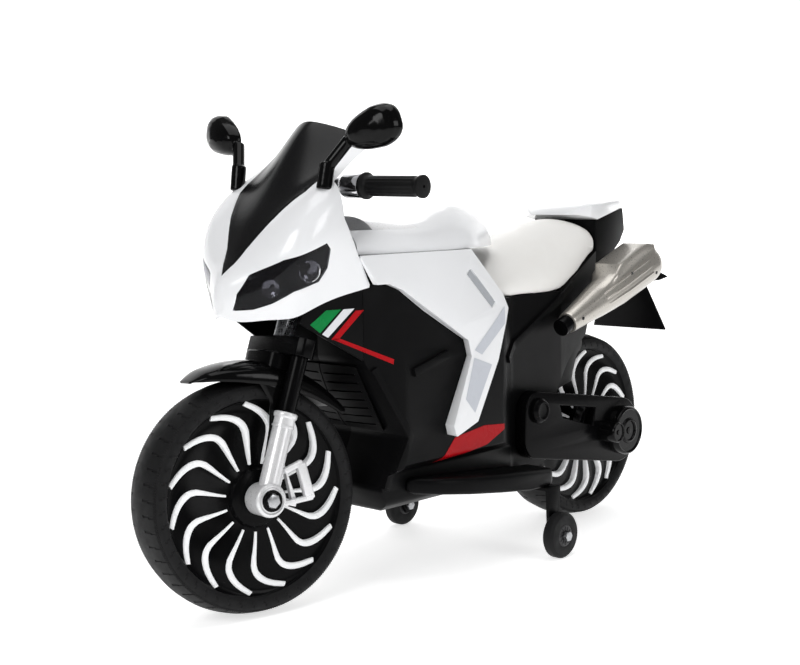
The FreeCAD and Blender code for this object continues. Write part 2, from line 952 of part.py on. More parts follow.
def band(spots, width):
    # A strip of this width along a line of (x, z) points.
    sides = ([], [])
    last = len(spots) - 1
    for index, spot in enumerate(spots):
        here = V(spot[0], 0, spot[1])
        before = spots[max(index - 1, 0)]
        after = spots[min(index + 1, last)]
        run = V(after[0] - before[0], 0, after[1] - before[1]).normalize()
        across = V(run.z, 0, -run.x) * (width / 2)
        sides[0].append(here + across)
        sides[1].append(here - across)
    corners = sides[0] + sides[1][::-1]
    return [(corner.x, corner.z) for corner in corners]


def body_shells():
    half_section = [
        (0, dims.belly_height),
        (dims.belly_half_width, dims.belly_height),
        (dims.sill_half_width, dims.belly_height + dims.body_round),
        (dims.sill_half_width, dims.sill_top),
        (dims.body_half_width, dims.sill_top + dims.sill_slope),
        (dims.body_half_width, dims.shoulder_height),
        (dims.body_waist, dims.waist_height),
        (dims.body_waist, dims.body_deck),
        (0, dims.body_deck),
    ]
    small, large = dims.body_round, dims.flank_round
    well_bend = (dims.wheel_radius + dims.wheel_well_gap) * well_bend_share
    side_radii = [0, small, small, small, small, small, 0, *[well_bend] * 3, 0, 0, 0, 0, 0, 0]
    side_wire = rounded(body_side_corners(), side_radii, side)
    section_radii = [0, small, small, small / 2, small / 2, large, large, 0, 0]
    section_wire = rounded(half_section, section_radii, section)
    plan_wire = rounded(body_half_plan(), [0, 0, large, large, large, large, 0, 0], plan)
    outlines = ((side_wire, V(0, far, 0)), (section_wire, V(far, 0, 0)), (plan_wire, V(0, 0, far)))

    def volume(inset):
        slabs = []
        for wire, span in outlines:
            outline = wire if not inset else wire.makeOffset2D(-inset, 2)
            slabs.append(swept(outline, span))
        return slabs[0].common(slabs[1]).common(slabs[2])

    whole = volume(0)
    inner = volume(dims.body_wall)
    inner.translate(V(0, -dims.body_wall, 0))
    shell = whole.cut(inner)

    # Ribs stand proud of the flank: the edge beside the grille, a short ridge and the seat strut.
    edge_x = dims.grille_foot_x - dims.rib_width / 2
    ribs = (
        [
            (dims.body_front - dims.rib_width, dims.cowl_low_height - dims.rib_width),
            (edge_x, dims.grille_foot_z),
            (dims.chin_x - dims.rib_width / 2, dims.chin_z),
        ],
        [(dims.ridge_front_x, dims.ridge_front_z), (dims.ridge_rear_x, dims.ridge_rear_z)],
        [(dims.strut_front_x, dims.strut_front_z), (dims.strut_rear_x, dims.strut_rear_z)],
    )
    proud = volume(-dims.rib_height).common(swept(side_wire, V(0, far, 0))).cut(whole)
    for spots in ribs:
        strip = swept(rounded(band(spots, dims.rib_width), 0, side), V(0, far, 0))
        flank = Part.makeBox(far, far, far, V(-far / 2, dims.sill_half_width * rib_from_share, 0))
        shell = shell.fuse(strip.common(proud).common(flank))
    shell = shell.removeSplitter()
    keep(feature("body_left", shell), "body_shell_left")
    depth = dims.socket_length
    hole_start = V(dims.socket_x, -dims.arm_seat_half_width - depth / 2, socket_height())
    hole = Part.makeCylinder(dims.socket_radius, depth, hole_start, V(0, 1, 0))
    right = shell.mirror(V(0, 0, 0), V(0, 1, 0)).cut(hole)
    keep(feature("body_right", right), "body_shell_right")


def cowls():
    # Black wings that carry the body's flanks forward beside the fork crown.
    outline = [
        (dims.cowl_tip_x, dims.cowl_tip_height),
        (dims.body_front, dims.cowl_low_height),
        (dims.body_front, dims.cowl_high_height),
        (dims.cowl_tip_top_x, dims.cowl_tip_top),
    ]
    strip = [
        (dims.body_front, dims.front_half_width),
        (dims.cowl_tip_x, dims.cowl_tip_half_width),
        (dims.cowl_tip_x, dims.cowl_tip_half_width - dims.cowl_wall),
        (dims.body_front, dims.front_half_width - dims.cowl_wall),
    ]
    wing = swept(rounded(outline, 0, side), V(0, far, 0))
    wing = wing.common(swept(rounded(strip, 0, plan), V(0, 0, far)))
    paired(feature("cowl_wing", wing), "cowl_wings")


grille_slope = Size(
    0,
    "sqrt((dims.body_front - dims.grille_foot_x) ^ 2 + (dims.cowl_low_height - dims.grille_foot_z) ^ 2)",
)


def grille():
    # A slatted panel on the sloping front of the body.
    run = dims.body_front - dims.grille_foot_x
    rise = dims.cowl_low_height - dims.grille_foot_z
    slope = math.degrees(math.atan2(rise, run))
    length = math.hypot(run, rise)
    margin = s.grille_margin
    height = Size(length, grille_slope.text) - margin - margin
    pitch = height * (1 / (slat_count + 1))
    body = new_body("grille_panel")
    sketch = new_sketch(body, "XY_Plane")
    half = s.grille_width * half_share
    draw(sketch, [(zero, -half), (height, -half), (height, half), (zero, half)])
    pad(body, sketch, s.grille_depth).Reversed = True
    slot = new_sketch(body, "XY_Plane", -s.grille_depth)
    inset = half - s.slat_gap - s.slat_gap
    near = pitch - s.slat_gap * half_share
    past = pitch + s.slat_gap * half_share
    draw(slot, [(near, -inset), (past, -inset), (past, inset), (near, inset)])
    groove = body.newObject("PartDesign::Pocket", "grille_groove")
    groove.Profile = slot
    groove.setExpression("Length", s.slat_depth.text)
    groove.Reversed = True
    row = body.newObject("PartDesign::LinearPattern", "grille_row")
    row.Originals = [groove]
    row.Direction = (slot, ["H_Axis"])
    row.setExpression("Length", f"{pitch.text} * {slat_count - 1}")
    row.Occurrences = slat_count
    body.Tip = row
    turn = math.radians(slope)
    start = dims.grille_margin
    foot = V(dims.grille_foot_x + start * math.cos(turn), 0, dims.grille_foot_z + start * math.sin(turn))
    body.Placement = FreeCAD.Placement(foot, FreeCAD.Rotation(V(0, 1, 0), -slope))
    keep(body, "front_grille")


# Stations of the fairing from nose to rear: the share of its length, then (width, height) shares.
fairing_shares = (
    (1.0, ((0.05, 0.03), (0.07, 0.08), (0.07, 0.115), (0.06, 0.145), (0.04, 0.163), (0, 0.17))),
    (0.976, ((0.11, 0.007), (0.17, 0.08), (0.18, 0.13), (0.14, 0.175), (0.07, 0.197), (0, 0.20))),
    (0.86, ((0.405, 0.0), (0.51, 0.10), (0.55, 0.20), (0.45, 0.275), (0.17, 0.303), (0, 0.307))),
    (0.775, ((0.55, 0.004), (0.70, 0.13), (0.81, 0.27), (0.71, 0.368), (0.27, 0.395), (0, 0.402))),
    (0.69, ((0.67, 0.01), (0.82, 0.17), (0.93, 0.34), (0.82, 0.452), (0.36, 0.474), (0, 0.486))),
    (0.58, ((0.73, 0.038), (0.89, 0.22), (0.98, 0.41), (0.87, 0.528), (0.44, 0.553), (0, 0.58))),
    (0.47, ((0.78, 0.07), (0.94, 0.27), (0.99, 0.47), (0.87, 0.588), (0.50, 0.617), (0, 0.68))),
    (0.26, ((0.87, 0.11), (0.98, 0.33), (0.97, 0.52), (0.86, 0.66), (0.53, 0.74), (0, 0.87))),
    (0.0, ((0.94, 0.145), (1.0, 0.38), (0.97, 0.58), (0.84, 0.75), (0.54, 0.88), (0, 1.0))),
)
# Side view of what is cut away behind the fairing, with the gap for the handlebar.
fairing_cut_shares = (
    (0.112, 0.0),
    (0.112, 0.14),
    (0.2555, 0.2815),
    (0.39, 0.455),
    (0.40, 0.625),
    (0.0, 0.80),
    (0.10, 0.875),
    (0.20, 0.92),
    (0.20, 1.3),
    (-0.6, 1.3),
    (-0.6, 0.0),
)
screen_shares = (
    (0.972, 0.0),
    (0.91, 0.10),
    (0.84, 0.18),
    (0.765, 0.31),
    (0.70, 0.41),
    (0.53, 0.60),
    (0.44, 0.63),
    (0.08, 0.55),
    (-0.2, 0.5),
    (-0.2, 0.0),
)
lamp_shares = (
    (0.967, 0.047),
    (0.958, 0.125),
    (0.906, 0.21),
    (0.796, 0.278),
    (0.54, 0.348),
    (0.503, 0.32),
    (0.503, 0.233),
    (0.551, 0.171),
    (0.722, 0.131),
    (0.819, 0.078),
    (0.893, 0.052),
)


def fairing_spot(along, up):
    span = dims.nose_x - dims.fairing_rear_x
    height = dims.fairing_high - dims.fairing_low
    return dims.fairing_rear_x + span * along, dims.fairing_low + height * up


def fairing_stations():
    stations = []
    for along, half in fairing_shares:
        x = fairing_spot(along, 0)[0]
        stations.append((x, [(dims.fairing_half_width * y, fairing_spot(0, z)[1]) for y, z in half]))
    return stations


def fairing():
    stations = fairing_stations()
    flat_points = 2
    open_rear = [0] * (len(stations) - 1) + [-dims.fairing_wall]
    open_rear[0] = -dims.fairing_wall
    shell = hull(stations).cut(hollow(stations, dims.fairing_wall, open_rear, flat_points))
    behind = swept(rounded([fairing_spot(a, b) for a, b in fairing_cut_shares], 0, side), V(0, far, 0))
    shell = shell.cut(behind)

    half_screen = [(fairing_spot(a, 0)[0], dims.fairing_half_width * b) for a, b in screen_shares]
    outline = half_screen + [(a, -b) for a, b in reversed(half_screen[1:-1])]
    screen_wire = rounded(outline, 0, plan)
    above = fairing_spot(0, fairing_shares[1][1][3][1])[1]

    def screen_column(inset):
        wire = screen_wire.makeOffset2D(-inset, 2) if inset else screen_wire
        face = Part.Face(wire)
        face.translate(V(0, 0, above + inset))
        return face.extrude(V(0, 0, far))

    keep(feature("screen_skin", shell.common(screen_column(dims.seam_gap))), "windscreen")
    shell = shell.cut(screen_column(0))

    lamp_wire = rounded([fairing_spot(a, b) for a, b in lamp_shares], 0, side)

    def lamp_column(inset):
        wire = lamp_wire.makeOffset2D(-inset, 2) if inset else lamp_wire
        face = Part.Face(wire)
        face.translate(V(0, dims.nose_band + inset, 0))
        return face.extrude(V(0, far, 0))

    paired(feature("lens_skin", shell.common(lamp_column(dims.seam_gap))), "headlight_lenses")

    # The tray follows the lens: the space behind it, less the same space pushed further in.
    back = dims.fairing_wall + dims.seam_gap
    behind_lens = hollow(stations, back, [-back] + open_rear[1:], flat_points)
    push_shares = V(-0.55, -0.7, -0.45)

    def pushed(depth):
        moved = behind_lens.copy()
        moved.translate(push_shares * depth)
        return moved

    tray = behind_lens.cut(pushed(dims.lamp_depth + dims.lamp_rim)).common(lamp_column(dims.lamp_inset))
    bowl = behind_lens.cut(pushed(dims.lamp_depth)).common(lamp_column(dims.lamp_inset + dims.lamp_rim))
    tray = tray.cut(bowl)
    paired(feature("lamp_tray", tray), "headlight_trays")

    column = lamp_column(0)
    shell = shell.cut(column).cut(column.mirror(V(0, 0, 0), V(0, 1, 0)))
    keep(feature("fairing_skin", shell), "front_fairing")


# Stations of the tank cover from its rear nose to its open front, in the same form.
tank_shares = (
    (0.0, ((0.17, 0.0), (0.16, 0.08), (0.10, 0.17), (0, 0.22))),
    (0.10, ((0.52, 0.0), (0.49, 0.28), (0.33, 0.62), (0, 0.79))),
    (0.21, ((0.73, 0.0), (0.69, 0.34), (0.48, 0.76), (0, 0.96))),
    (0.33, ((0.91, 0.0), (0.87, 0.36), (0.62, 0.80), (0, 1.0))),
    (0.49, ((0.99, 0.0), (0.95, 0.32), (0.68, 0.66), (0, 0.83))),
    (0.70, ((0.99, 0.0), (0.95, 0.29), (0.69, 0.58), (0, 0.69))),
    (1.0, ((0.94, 0.0), (0.91, 0.26), (0.66, 0.56), (0, 0.69))),
)


def tank_and_dash():
    span = dims.tank_front_x - dims.tank_rear_x
    height = dims.tank_top - dims.body_deck
    stations = []
    for along, half in tank_shares:
        points = [(dims.tank_half_width * y, dims.body_deck + height * z) for y, z in half]
        stations.append((dims.tank_rear_x + span * along, points))
    outer = hull(stations)
    ends = [dims.tank_wall] + [0] * (len(stations) - 2) + [dims.tank_wall]
    shell = outer.cut(hollow(stations, dims.tank_wall, ends))
    notch = Part.makeBox(
        dims.overrun * 2,
        dims.column_notch_half_width * 2,
        dims.overrun * 2,
        V(dims.column_notch_x, -dims.column_notch_half_width, dims.body_deck - dims.overrun / 2),
    )
    dash_length = dims.column_notch_x - dims.dash_rear
    dash_corner = V(dims.dash_rear, -dims.tank_half_width, dims.dash_seat_height)
    dash_space = Part.makeBox(dash_length, dims.tank_half_width * 2, dims.overrun * 2, dash_corner)
    ahead = Part.makeBox(dims.tank_front_x, dims.tank_half_width * 2, dims.overrun * 2, dash_corner)
    keep(feature("tank_skin", shell.cut(notch).cut(ahead)), "tank_cover")

    dash = outer.common(dash_space)
    gap = dims.rocker_gap
    for way, label in ((1, "power_rocker"), (-1, "direction_rocker")):
        centre = V(dims.rocker_x, dims.rocker_y * way, dims.dash_seat_height + dims.rocker_depth)
        slot = Part.makeBox(
            dims.rocker_length + gap * 2,
            dims.rocker_width + gap,
            dims.overrun * 2,
            centre - V(dims.rocker_length / 2 + gap, (dims.rocker_width + gap) / 2, dims.overrun),
        )
        pin_reach = dims.rocker_width + dims.rocker_pin_length * 2
        pin_base = centre - V(0, pin_reach / 2, 0)
        pin_hole = Part.makeCylinder(
            dims.rocker_pin_radius + dims.running_clearance,
            pin_reach + dims.seam_gap * 2,
            pin_base - V(0, dims.seam_gap, 0),
            V(0, 1, 0),
        )
        dash = dash.cut(slot).cut(pin_hole)
        half_length, half_depth = dims.rocker_length / 2, dims.rocker_depth / 2
        profile = [
            (-half_length, -half_depth),
            (half_length, -half_depth),
            (half_length, half_depth),
            (0, half_depth - dims.rocker_rise / 2),
            (-half_length, half_depth),
        ]
        rocker = swept(rounded(profile, 0, side), V(0, dims.rocker_width, 0))
        rocker.rotate(V(0, 0, 0), V(0, 1, 0), dims.rocker_tilt_angle)
        rocker.translate(centre)
        pin = Part.makeCylinder(dims.rocker_pin_radius, pin_reach, pin_base, V(0, 1, 0))
        keep(feature(f"{label}_block", rocker.fuse(pin).removeSplitter()), label)
    keep(feature("dash_slab", dash), "dashboard")


# Side outline of a side panel, from its front top corner, as shares of its length and height.
panel_shares = (
    (1.0, 1.0),
    (0.24, 1.0),
    (0.03, 0.74),
    (0.0, 0.66),
    (0.10, 0.38),
    (0.276, 0.06),
    (0.474, 0.0),
    (0.505, 0.06),
    (0.385, 0.42),
    (0.40, 0.51),
    (0.74, 0.81),
    (0.83, 0.848),
    (0.903, 0.848),
)
panel_slot_shares = ((0.225, 0.885), (0.13, 0.68))
slot_round_share = 0.33


def side_panels():
    span = dims.panel_front_x - dims.panel_rear_x
    top = dims.body_deck - dims.seam_gap
    height = top - dims.panel_low_height

    def spot(along, up):
        return dims.panel_rear_x + span * along, dims.panel_low_height + height * up

    wire = rounded([spot(a, b) for a, b in panel_shares], dims.panel_wall, side)
    gap = dims.seam_gap

    def layer(inner, outer_inset):
        low = dims.panel_low_height - dims.overrun
        corners = inner + [
            (dims.panel_low_half_width - outer_inset, low),
            (dims.panel_low_half_width - outer_inset, dims.panel_low_height),
            (dims.panel_mid_half_width - outer_inset, dims.panel_mid_height),
            (dims.panel_top_half_width - outer_inset, top),
            (dims.panel_top_half_width - outer_inset, top + dims.overrun),
        ]
        return swept(rounded(corners, 0, section), V(far, 0, 0))

    seat = [
        (dims.body_waist + gap, top + dims.overrun),
        (dims.body_waist + gap, dims.waist_height),
        (dims.body_half_width + gap, dims.shoulder_height),
        (dims.body_half_width + gap, dims.panel_low_height - dims.overrun),
    ]
    panel = swept(wire, V(0, far, 0)).common(layer(seat, 0))
    hollow = swept(wire.makeOffset2D(-dims.panel_rim, 2), V(0, far, 0))
    open_seat = [(0, top + dims.overrun), (0, dims.panel_low_height - dims.overrun)]
    panel = panel.cut(hollow.common(layer(open_seat, dims.panel_wall)))
    high, low = (spot(a, b) for a, b in panel_slot_shares)
    run = V(low[0] - high[0], 0, low[1] - high[1])
    across = V(run.z, 0, -run.x).normalize() * (dims.slot_width / 2)
    corners = [V(high[0], 0, high[1]) + across, V(high[0], 0, high[1]) - across]
    corners += [V(low[0], 0, low[1]) - across, V(low[0], 0, low[1]) + across]
    slot_wire = rounded([(c.x, c.z) for c in corners], dims.slot_width * slot_round_share, side)
    recess = swept(slot_wire, V(0, far, 0)).cut(layer(open_seat, dims.slot_depth))
    panel = panel.cut(recess)
    left = keep(feature("panel_skin", panel), "side_panel_left")
    mirrored(left, "side_panel_right")


# Plan of a footboard from its front, as shares of its length and its width beyond the sill.
foot_shares = (
    (1.0, 0.0),
    (0.97, 0.25),
    (0.86, 0.6),
    (0.68, 0.86),
    (0.45, 0.98),
    (0.06, 1.0),
    (0.0, 0.86),
    (0.0, 0.0),
)


def footboards():
    board = new_body("foot_profile")
    sketch = new_sketch(board, "XZ_Plane")
    flat_x = s.foot_rear_x + s.overrun
    draw(
        sketch,
        [
            (s.foot_front_x, s.foot_front_top),
            (s.foot_front_x, s.foot_front_low),
            (flat_x, s.foot_rear_low),
            (s.foot_rear_x, s.foot_rear_low),
            (s.foot_rear_x, s.foot_rear_top),
        ],
    )
    pad(board, sketch, s.foot_half_width).Reversed = True
    shape = new_body("foot_plan")
    outline = new_sketch(shape, "XY_Plane")
    width = s.foot_half_width - s.sill_half_width
    span = s.foot_front_x - s.foot_rear_x
    corners = []
    for along, out in foot_shares:
        corners.append((s.foot_rear_x + span * along, s.sill_half_width + width * out))
    draw(outline, corners)
    pad(shape, outline, s.body_deck)
    board_node = doc.addObject("Part::Common", "foot_board")
    board_node.Base = board
    board_node.Tool = shape
    left = keep(board_node, "footboard_left")
    mirrored(left, "footboard_right")


trainer_edge_share = 0.4


def training_wheels():
    bore = s.trainer_bolt_radius + s.running_clearance
    edge = s.trainer_half_width * trainer_edge_share
    tyre_half = [
        (s.trainer_radius, s.trainer_half_width - edge),
        (s.trainer_radius - edge, s.trainer_half_width),
        (s.trainer_hub_radius, s.trainer_half_width),
    ]
    hub_half = [(s.trainer_hub_radius, s.trainer_half_width), (bore, s.trainer_half_width)]
    inner = s.trainer_y - s.trainer_half_width - s.bracket_gap
    bolts = []
    for name, way in (("left", 1), ("right", -1)):
        place = (s.trainer_x, s.trainer_y * way, s.trainer_radius)
        for label, half in (("training_tyre", tyre_half), ("training_hub", hub_half)):
            node = revolved(f"{label}_turn_{name}", half + [(r, -y) for r, y in reversed(half)])
            bind_base(node, place)
            keep(node, f"{label}_{name}")
        shank = s.trainer_half_width * 2 + s.bracket_gap * 2 + s.bracket_wall
        begin = inner - s.bracket_wall
        start = begin if way > 0 else -begin - shank
        rod_base = (s.trainer_x, start, s.trainer_radius)
        rod = cylinder(f"trainer_rod_{name}", s.trainer_bolt_radius, shank, rod_base, "y")
        heads = []
        for end, reach in (("in", begin - s.trainer_bolt_head), ("out", begin + shank)):
            spot = reach if way > 0 else -reach - s.trainer_bolt_head
            heads.append(
                prism(
                    f"trainer_head_{end}_{name}",
                    s.trainer_head_radius,
                    s.trainer_bolt_head,
                    (s.trainer_x, spot, s.trainer_radius),
                    "y",
                )
            )
        bolts.append(fused(f"trainer_bolt_{name}", [rod] + heads))
    keep(group("trainer_bolt_pair", bolts), "training_bolts")

    strip = new_body("bracket_strip")
    sketch = new_sketch(strip, "XZ_Plane", -inner)
    half = s.bracket_width * half_share
    end = s.bracket_end_radius
    low = s.trainer_radius - end
    draw(
        sketch,
        [
            (s.trainer_x - half, s.foot_rear_low),
            (s.trainer_x + half, s.foot_rear_low),
            (s.trainer_x + end, s.trainer_radius),
            (s.trainer_x + end * half_share, low),
            (s.trainer_x - end * half_share, low),
            (s.trainer_x - end, s.trainer_radius),
        ],
    )
    pad(strip, sketch, s.bracket_wall)
    flange = block(
        "bracket_flange_plate",
        (s.bracket_width, s.bracket_flange, s.bracket_wall),
        (s.trainer_x - half, inner - s.bracket_wall - s.bracket_flange, s.foot_rear_low - s.bracket_wall),
    )
    hole = cylinder(
        "bracket_hole", s.trainer_bolt_radius, s.trainer_y, (s.trainer_x, zero, s.trainer_radius), "y"
    )
    paired(cut("bracket_cut", fused("bracket_whole", [strip, flange]), hole), "training_brackets")


# The seat from front to rear: share of length, width share and height share of its top.
seat_shares = (
    (0.0, 0.93, 0.53),
    (0.28, 0.99, 0.50),
    (0.48, 0.98, 0.72),
    (0.60, 0.94, 0.84),
    (0.82, 0.84, 0.985),
    (1.0, 0.70, 0.92),
)
# A seat section: its tucked-in foot and its shoulder by width, its middle and its brow by height.
tuck_share = 0.94
shoulder_share = 0.86
middle_share = 0.4
brow_share = 0.72


def seat_floor(x):
    # The seat base is level to its bend and then rises to the tail.
    rise = dims.seat_rear_height - dims.seat_base_height
    run = dims.seat_bend_x - dims.body_rear_x
    return dims.seat_base_height + rise * max(dims.seat_bend_x - x, 0) / run


def seat():
    span = dims.seat_rear_x - dims.seat_front_x
    sections = []
    for along, width_share, top_share in seat_shares:
        x = dims.seat_front_x + span * along
        low = seat_floor(x)
        top = dims.seat_base_height + (dims.seat_top - dims.seat_base_height) * top_share
        half = dims.seat_half_width * width_share
        tuck = half * tuck_share
        mid = low + (top - low) * middle_share
        brow = low + (top - low) * brow_share
        shoulder = half * shoulder_share
        spots = [V(x, y, z) for y, z in ((tuck, low), (half, mid), (shoulder, brow), (0, top))]
        other = [V(p.x, -p.y, p.z) for p in spots]
        edges = [
            Part.LineSegment(other[0], spots[0]).toShape(),
            Part.Arc(spots[0], spots[1], spots[2]).toShape(),
            Part.Arc(spots[2], spots[3], other[2]).toShape(),
            Part.Arc(other[2], other[1], other[0]).toShape(),
        ]
        sections.append(Part.Wire(edges))
    cushion = Part.makeLoft(sections, True)
    base = swept(rounded(body_side_corners(), 0, side).makeOffset2D(dims.seam_gap, 2), V(0, far, 0))
    nose = V(dims.tank_rear_x - dims.seam_gap, -far / 2, dims.body_deck - dims.seam_gap)
    under_tank = Part.makeBox(far, far, far, nose)
    keep(feature("seat_cushion", cushion.cut(base).cut(under_tank)), "seat")


# The tail's rear edge, as shares of the height of that edge.
tail_lip_share = 0.14
tail_lamp_shares = (0.1, 0.16)
tail_step_share = 0.34
tail_foot_share = 0.28
# The cover over it: the first three as shares of its overhang, the others of the tail's edge.
cover_under_share = 0.3
cover_brow_share = 0.5
cover_wide_share = 0.4
cover_dip_share = 0.1
cover_rear_share = 0.4
cover_edge_share = 0.06
cover_turn_share = 0.3
cover_tip_share = 0.8
cover_lift_shares = (4, 6)


def tail():
    front, rear = dims.body_rear_x, dims.tail_rear_x
    lip = dims.tail_top - dims.tail_rear_low
    outline = [
        (front, dims.body_rear_low + dims.seam_gap),
        (front, dims.tail_front_top),
        (rear + lip * tail_lip_share, dims.tail_top),
        (rear + lip * tail_lamp_shares[0], dims.tail_top - lip * tail_lamp_shares[1]),
        (rear, dims.tail_rear_low + lip * tail_step_share),
        (rear + lip * tail_foot_share, dims.tail_rear_low),
    ]
    half_plan = [(front, dims.tail_half_width), (rear, dims.tail_rear_half_width)]
    plan_corners = half_plan + [(a, -b) for a, b in reversed(half_plan)]
    body = swept(rounded(outline, 0, side), V(0, far, 0))
    body = body.common(swept(rounded(plan_corners, 0, plan), V(0, 0, far)))
    keep(feature("tail_block", body), "tail_body")

    lamp_corners = [outline[3], outline[4]]
    lean = V(lamp_corners[1][0] - lamp_corners[0][0], 0, lamp_corners[1][1] - lamp_corners[0][1])
    out = V(lean.z, 0, -lean.x).normalize() * dims.lamp_wall
    lens = [
        lamp_corners[0],
        lamp_corners[1],
        (lamp_corners[1][0] + out.x, lamp_corners[1][1] + out.z),
        (lamp_corners[0][0] + out.x, lamp_corners[0][1] + out.z),
    ]
    lamp = swept(rounded(lens, 0, side), V(0, dims.tail_lamp_half_width * 2, 0))
    keep(feature("tail_lamp_lens", lamp), "tail_lamp")

    # The cover sits on the tail and reaches forward over the back of the seat.
    over = dims.cover_front_x - front
    lifts = [dims.seam_gap * share for share in cover_lift_shares]
    cover = [
        (front, dims.tail_front_top),
        (dims.cover_front_x - over * cover_under_share, dims.seat_top + lifts[0]),
        (dims.cover_front_x, dims.seat_top + lifts[1]),
        (dims.cover_front_x - over * cover_brow_share, dims.cover_top - lip * cover_dip_share),
        (dims.cover_rear_x + lip * cover_rear_share, dims.cover_top),
        (dims.cover_rear_x, dims.cover_top - lip * cover_edge_share),
        (rear + lip * tail_lip_share, dims.tail_top),
    ]
    cover_plan = [
        (dims.cover_front_x, dims.cover_front_half_width / 2),
        (front + over * cover_wide_share, dims.cover_front_half_width),
        (front, dims.cover_front_half_width),
        (rear + lip * cover_turn_share, dims.tail_rear_half_width + dims.lamp_wall / 2),
        (rear, dims.tail_rear_half_width * cover_tip_share),
    ]
    cover_corners = cover_plan + [(a, -b) for a, b in reversed(cover_plan)]
    shape = swept(rounded(cover, 0, side), V(0, far, 0))
    shape = shape.common(swept(rounded(cover_corners, 0, plan), V(0, 0, far)))
    keep(feature("tail_lid", shape), "tail_cover")


exhaust_shares = (0.3, 0.5, 0.92)
hanger_share = 0.3


def exhausts():
    length = s.exhaust_length
    wall = s.exhaust_wall
    waist, step, tip = (length * share for share in exhaust_shares)
    corners = [
        (zero, zero),
        (s.exhaust_front_radius, zero),
        (s.exhaust_waist_radius, waist),
        (s.exhaust_step_radius, step),
        (s.exhaust_rear_radius, tip),
        (s.exhaust_rear_radius - wall, length),
        (s.exhaust_rear_radius - wall - wall, length),
        (s.exhaust_rear_radius - wall - wall, tip),
        (s.exhaust_step_radius - wall, step),
        (s.exhaust_waist_radius - wall, waist + wall),
        (zero, waist + wall),
    ]
    silencer = revolved("silencer", corners)
    pitch = math.radians(dims.exhaust_pitch_angle)
    along = V(-math.cos(pitch), 0, math.sin(pitch))
    start = V(dims.exhaust_front_x, dims.exhaust_y, dims.seat_base_height - dims.exhaust_drop)
    silencer.Placement = FreeCAD.Placement(start, FreeCAD.Rotation(V(0, 1, 0), along))
    doc.recompute()
    middle = start + along * (dims.exhaust_length * hanger_share)
    reach = dims.exhaust_y - dims.tail_rear_half_width
    corner = middle - V(dims.hanger_length / 2, reach, dims.hanger_height / 2)
    hanger = Part.makeBox(dims.hanger_length, reach, dims.hanger_height, corner)
    body = swept(rounded(body_half_plan(), 0, plan), V(0, 0, far))
    bore = silencer.Shape.fuse(hanger.cut(body)).removeSplitter()
    paired(feature("exhaust_whole", bore), "exhausts")
    stub = Part.makeCylinder(dims.stub_radius, dims.stub_length, start - along * dims.stub_length, along)
    stubs = Part.makeCompound([stub, stub.mirror(V(0, 0, 0), V(0, 1, 0))])
    keep(feature("exhaust_stub_pair", stubs), "exhaust_stubs")


def plate_flap():
    front, rear = dims.body_rear_x, dims.tail_rear_x
    lip = dims.tail_top - dims.tail_rear_low
    low = (front, dims.body_rear_low + dims.seam_gap)
    high = (rear + lip * tail_foot_share, dims.tail_rear_low)
    seat_share = 0.45
    plate_share = 0.25

    def between(start, finish, share):
        return start[0] + (finish[0] - start[0]) * share, start[1] + (finish[1] - start[1]) * share

    plate_top = (dims.flap_top_x, dims.flap_top_z)
    plate_end = (dims.flap_low_x, dims.flap_low_z)
    front_low = between(low, high, seat_share)
    arm = [
        front_low,
        high,
        plate_top,
        between(plate_top, plate_end, plate_share),
        (front_low[0] - dims.flap_arm_depth, front_low[1] - dims.flap_arm_depth),
    ]
    shape = swept(rounded(arm, 0, side), V(0, dims.flap_arm_half_width * 2, 0))
    plate = [
        V(dims.flap_top_x, dims.flap_top_half_width, dims.flap_top_z),
        V(dims.flap_low_x, dims.flap_low_half_width, dims.flap_low_z),
        V(dims.flap_low_x, -dims.flap_low_half_width, dims.flap_low_z),
        V(dims.flap_top_x, -dims.flap_top_half_width, dims.flap_top_z),
    ]
    face = Part.Face(Part.makePolygon(plate + plate[:1]))
    out = (plate[1] - plate[0]).cross(plate[3] - plate[0]).normalize()
    if out.x > 0:
        out = out * -1
    shape = shape.fuse(face.extrude(out * dims.flap_wall)).removeSplitter()
    keep(feature("flap_whole", shape), "plate_flap")


def indicators():
    # A leaf turned about its own sideways axis, on a stalk from the flap's arm.
    base = V(dims.indicator_x, 0, dims.indicator_z)
    leaf_shares = ((0.0, 0.4), (0.12, 0.8), (0.36, 1.0), (0.7, 0.7), (1.0, 0.1))
    profile = [(dims.flap_arm_half_width, 0), (dims.flap_arm_half_width, dims.indicator_stalk_radius)]
    for along, out in leaf_shares:
        profile.append((dims.indicator_y + dims.indicator_length * along, dims.indicator_radius * out))
    profile.append((dims.indicator_y + dims.indicator_length, 0))
    spots = [base + V(0, along, out) for along, out in profile]
    leaf = Part.Face(Part.makePolygon(spots + spots[:1])).revolve(base, V(0, 1, 0), 360)
    paired(feature("indicator_leaf", leaf), "rear_indicators")


cap_bevel_share = 0.4
cap_dish_share = 0.6


